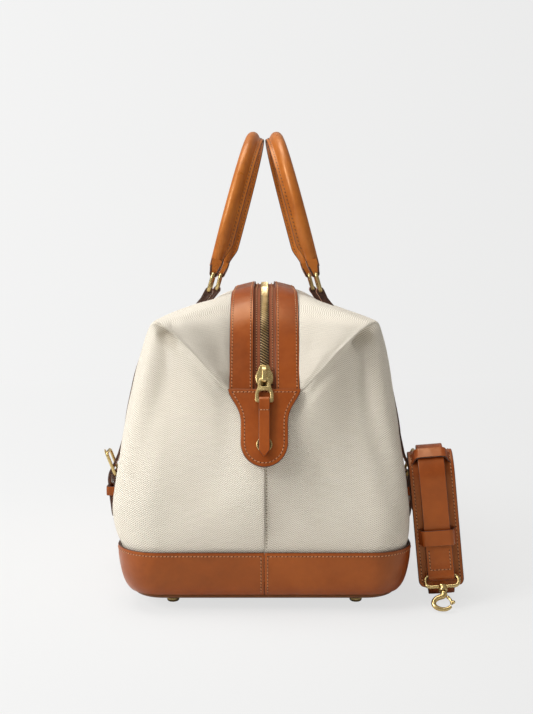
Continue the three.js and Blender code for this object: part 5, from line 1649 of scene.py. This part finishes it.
def stage_surface():
    """Pale paper: lit as a matt floor near the bag, and evenly bright farther away, with painted shade that
    darkens it towards the right of the picture.
    """
    n = Nodes("studio_paper")
    n.finish(n.ramp(n.noise(1.2, 2), (0.3, (0.80, 0.80, 0.795)), (0.7, (0.83, 0.83, 0.825))), 0.9)
    # Painted shade: the glow's colour darkens from the left of the picture to the right, as if lit from the
    # left.
    across = n.add("SeparateXYZ", {"Vector": n.coords.outputs["Window"]}).outputs[0]
    tint = n.ramp(across, (0.0, (0.90, 0.90, 0.897)), (1.0, (0.835, 0.835, 0.832)))
    glow = n.add("Emission", {"Color": tint, "Strength": 1.0})
    distance = n.add("VectorMath", {0: n.coords.outputs["Object"]}, operation="LENGTH").outputs["Value"]
    share = n.grey(n.math("DIVIDE", distance, 4.0), (0.045, 0.78), (0.12, 0.95), (0.5, 1.0))
    share = n.times(share, n.add("LightPath").outputs["Is Camera Ray"])
    blend = n.add("MixShader", {0: share, 1: n.shader.outputs[0], 2: glow.outputs[0]})
    output = next(node for node in n.tree.nodes if node.type == "OUTPUT_MATERIAL")
    n.tree.links.new(blend.outputs[0], output.inputs[0])
    profile = path([(-6000, 0), (3000, 0)], arc(3000, 1500, 1500, -90, 0, 24), [(4500, 5000)])
    verts = [(x * MM, y * MM, z * MM) for y, z in profile for x in (-FLOOR_SIDE, FLOOR_SIDE)]
    faces = [[2 * i, 2 * i + 1, 2 * i + 3, 2 * i + 2] for i in range(len(profile) - 1)]
    mesh = bpy.data.meshes.new("studio_floor")
    mesh.from_pydata(verts, [], faces)
    mesh.shade_smooth()
    mesh.materials.append(n.material)
    linked("studio_floor", mesh)


def area_light(name, place, target, size, power):
    """Square soft light; place, target and size are in metres and power in watts."""
    light = bpy.data.lights.new(name, "AREA")
    light.size = size
    light.energy = power
    light.color = LAMP_COLOUR
    obj = linked(name, light)
    obj.location = place
    obj.rotation_mode = "QUATERNION"
    obj.rotation_quaternion = Vector(np.array(target) - np.array(place)).to_track_quat("-Z", "Y")


def build_world():
    """Soft light from all round; the camera sees it as a pale wall."""
    world = bpy.data.worlds.new("studio_air")
    world.use_nodes = True
    nodes, links = world.node_tree.nodes, world.node_tree.links
    air = nodes["Background"]
    air.inputs["Color"].default_value = AIR_COLOUR
    air.inputs["Strength"].default_value = 0.36
    wall = nodes.new("ShaderNodeBackground")
    wall.inputs["Color"].default_value = WALL_COLOUR
    blend = nodes.new("ShaderNodeMixShader")
    links.new(nodes.new("ShaderNodeLightPath").outputs["Is Camera Ray"], blend.inputs[0])
    links.new(air.outputs[0], blend.inputs[1])
    links.new(wall.outputs[0], blend.inputs[2])
    links.new(blend.outputs[0], nodes["World Output"].inputs["Surface"])
    bpy.context.scene.world = world


def build_camera():
    camera = bpy.data.cameras.new("camera")
    camera.sensor_width = 36
    camera.lens = FOCAL_SHARE * camera.sensor_width
    obj = linked("camera", camera)
    obj.location = (CAMERA_AT + TO_FRAME) * MM
    obj.rotation_euler = (math.pi / 2 - CAMERA_PITCH, 0, 0)
    bpy.context.scene.camera = obj


def build_stage():
    stage_surface()
    area_light("key_left", (-2.1, -1.3, 1.7), (0, 0, 0.2), 1.1, 54)
    area_light("top", (-0.6, -0.1, 2.3), (0, 0, 0), 1.4, 34)
    build_world()
    build_camera()
    view = bpy.context.scene.view_settings
    view.view_transform = "Standard"
    view.look = "None"


build_bands()
build_panel()
build_feet()
build_zip()
build_canvas()
for hand, hand_name in SIDES:
    build_handle(hand, hand_name)
    for far, far_name in ENDS:
        build_side_strap(hand, far, far_name, hand_name)
build_rings()
build_shoulder_strap()
finish_cad_node("base_board", BOARD)
finish_cad_node("handle_core_left", CORD)
finish_cad_node("handle_core_right", CORD)
build_stage()
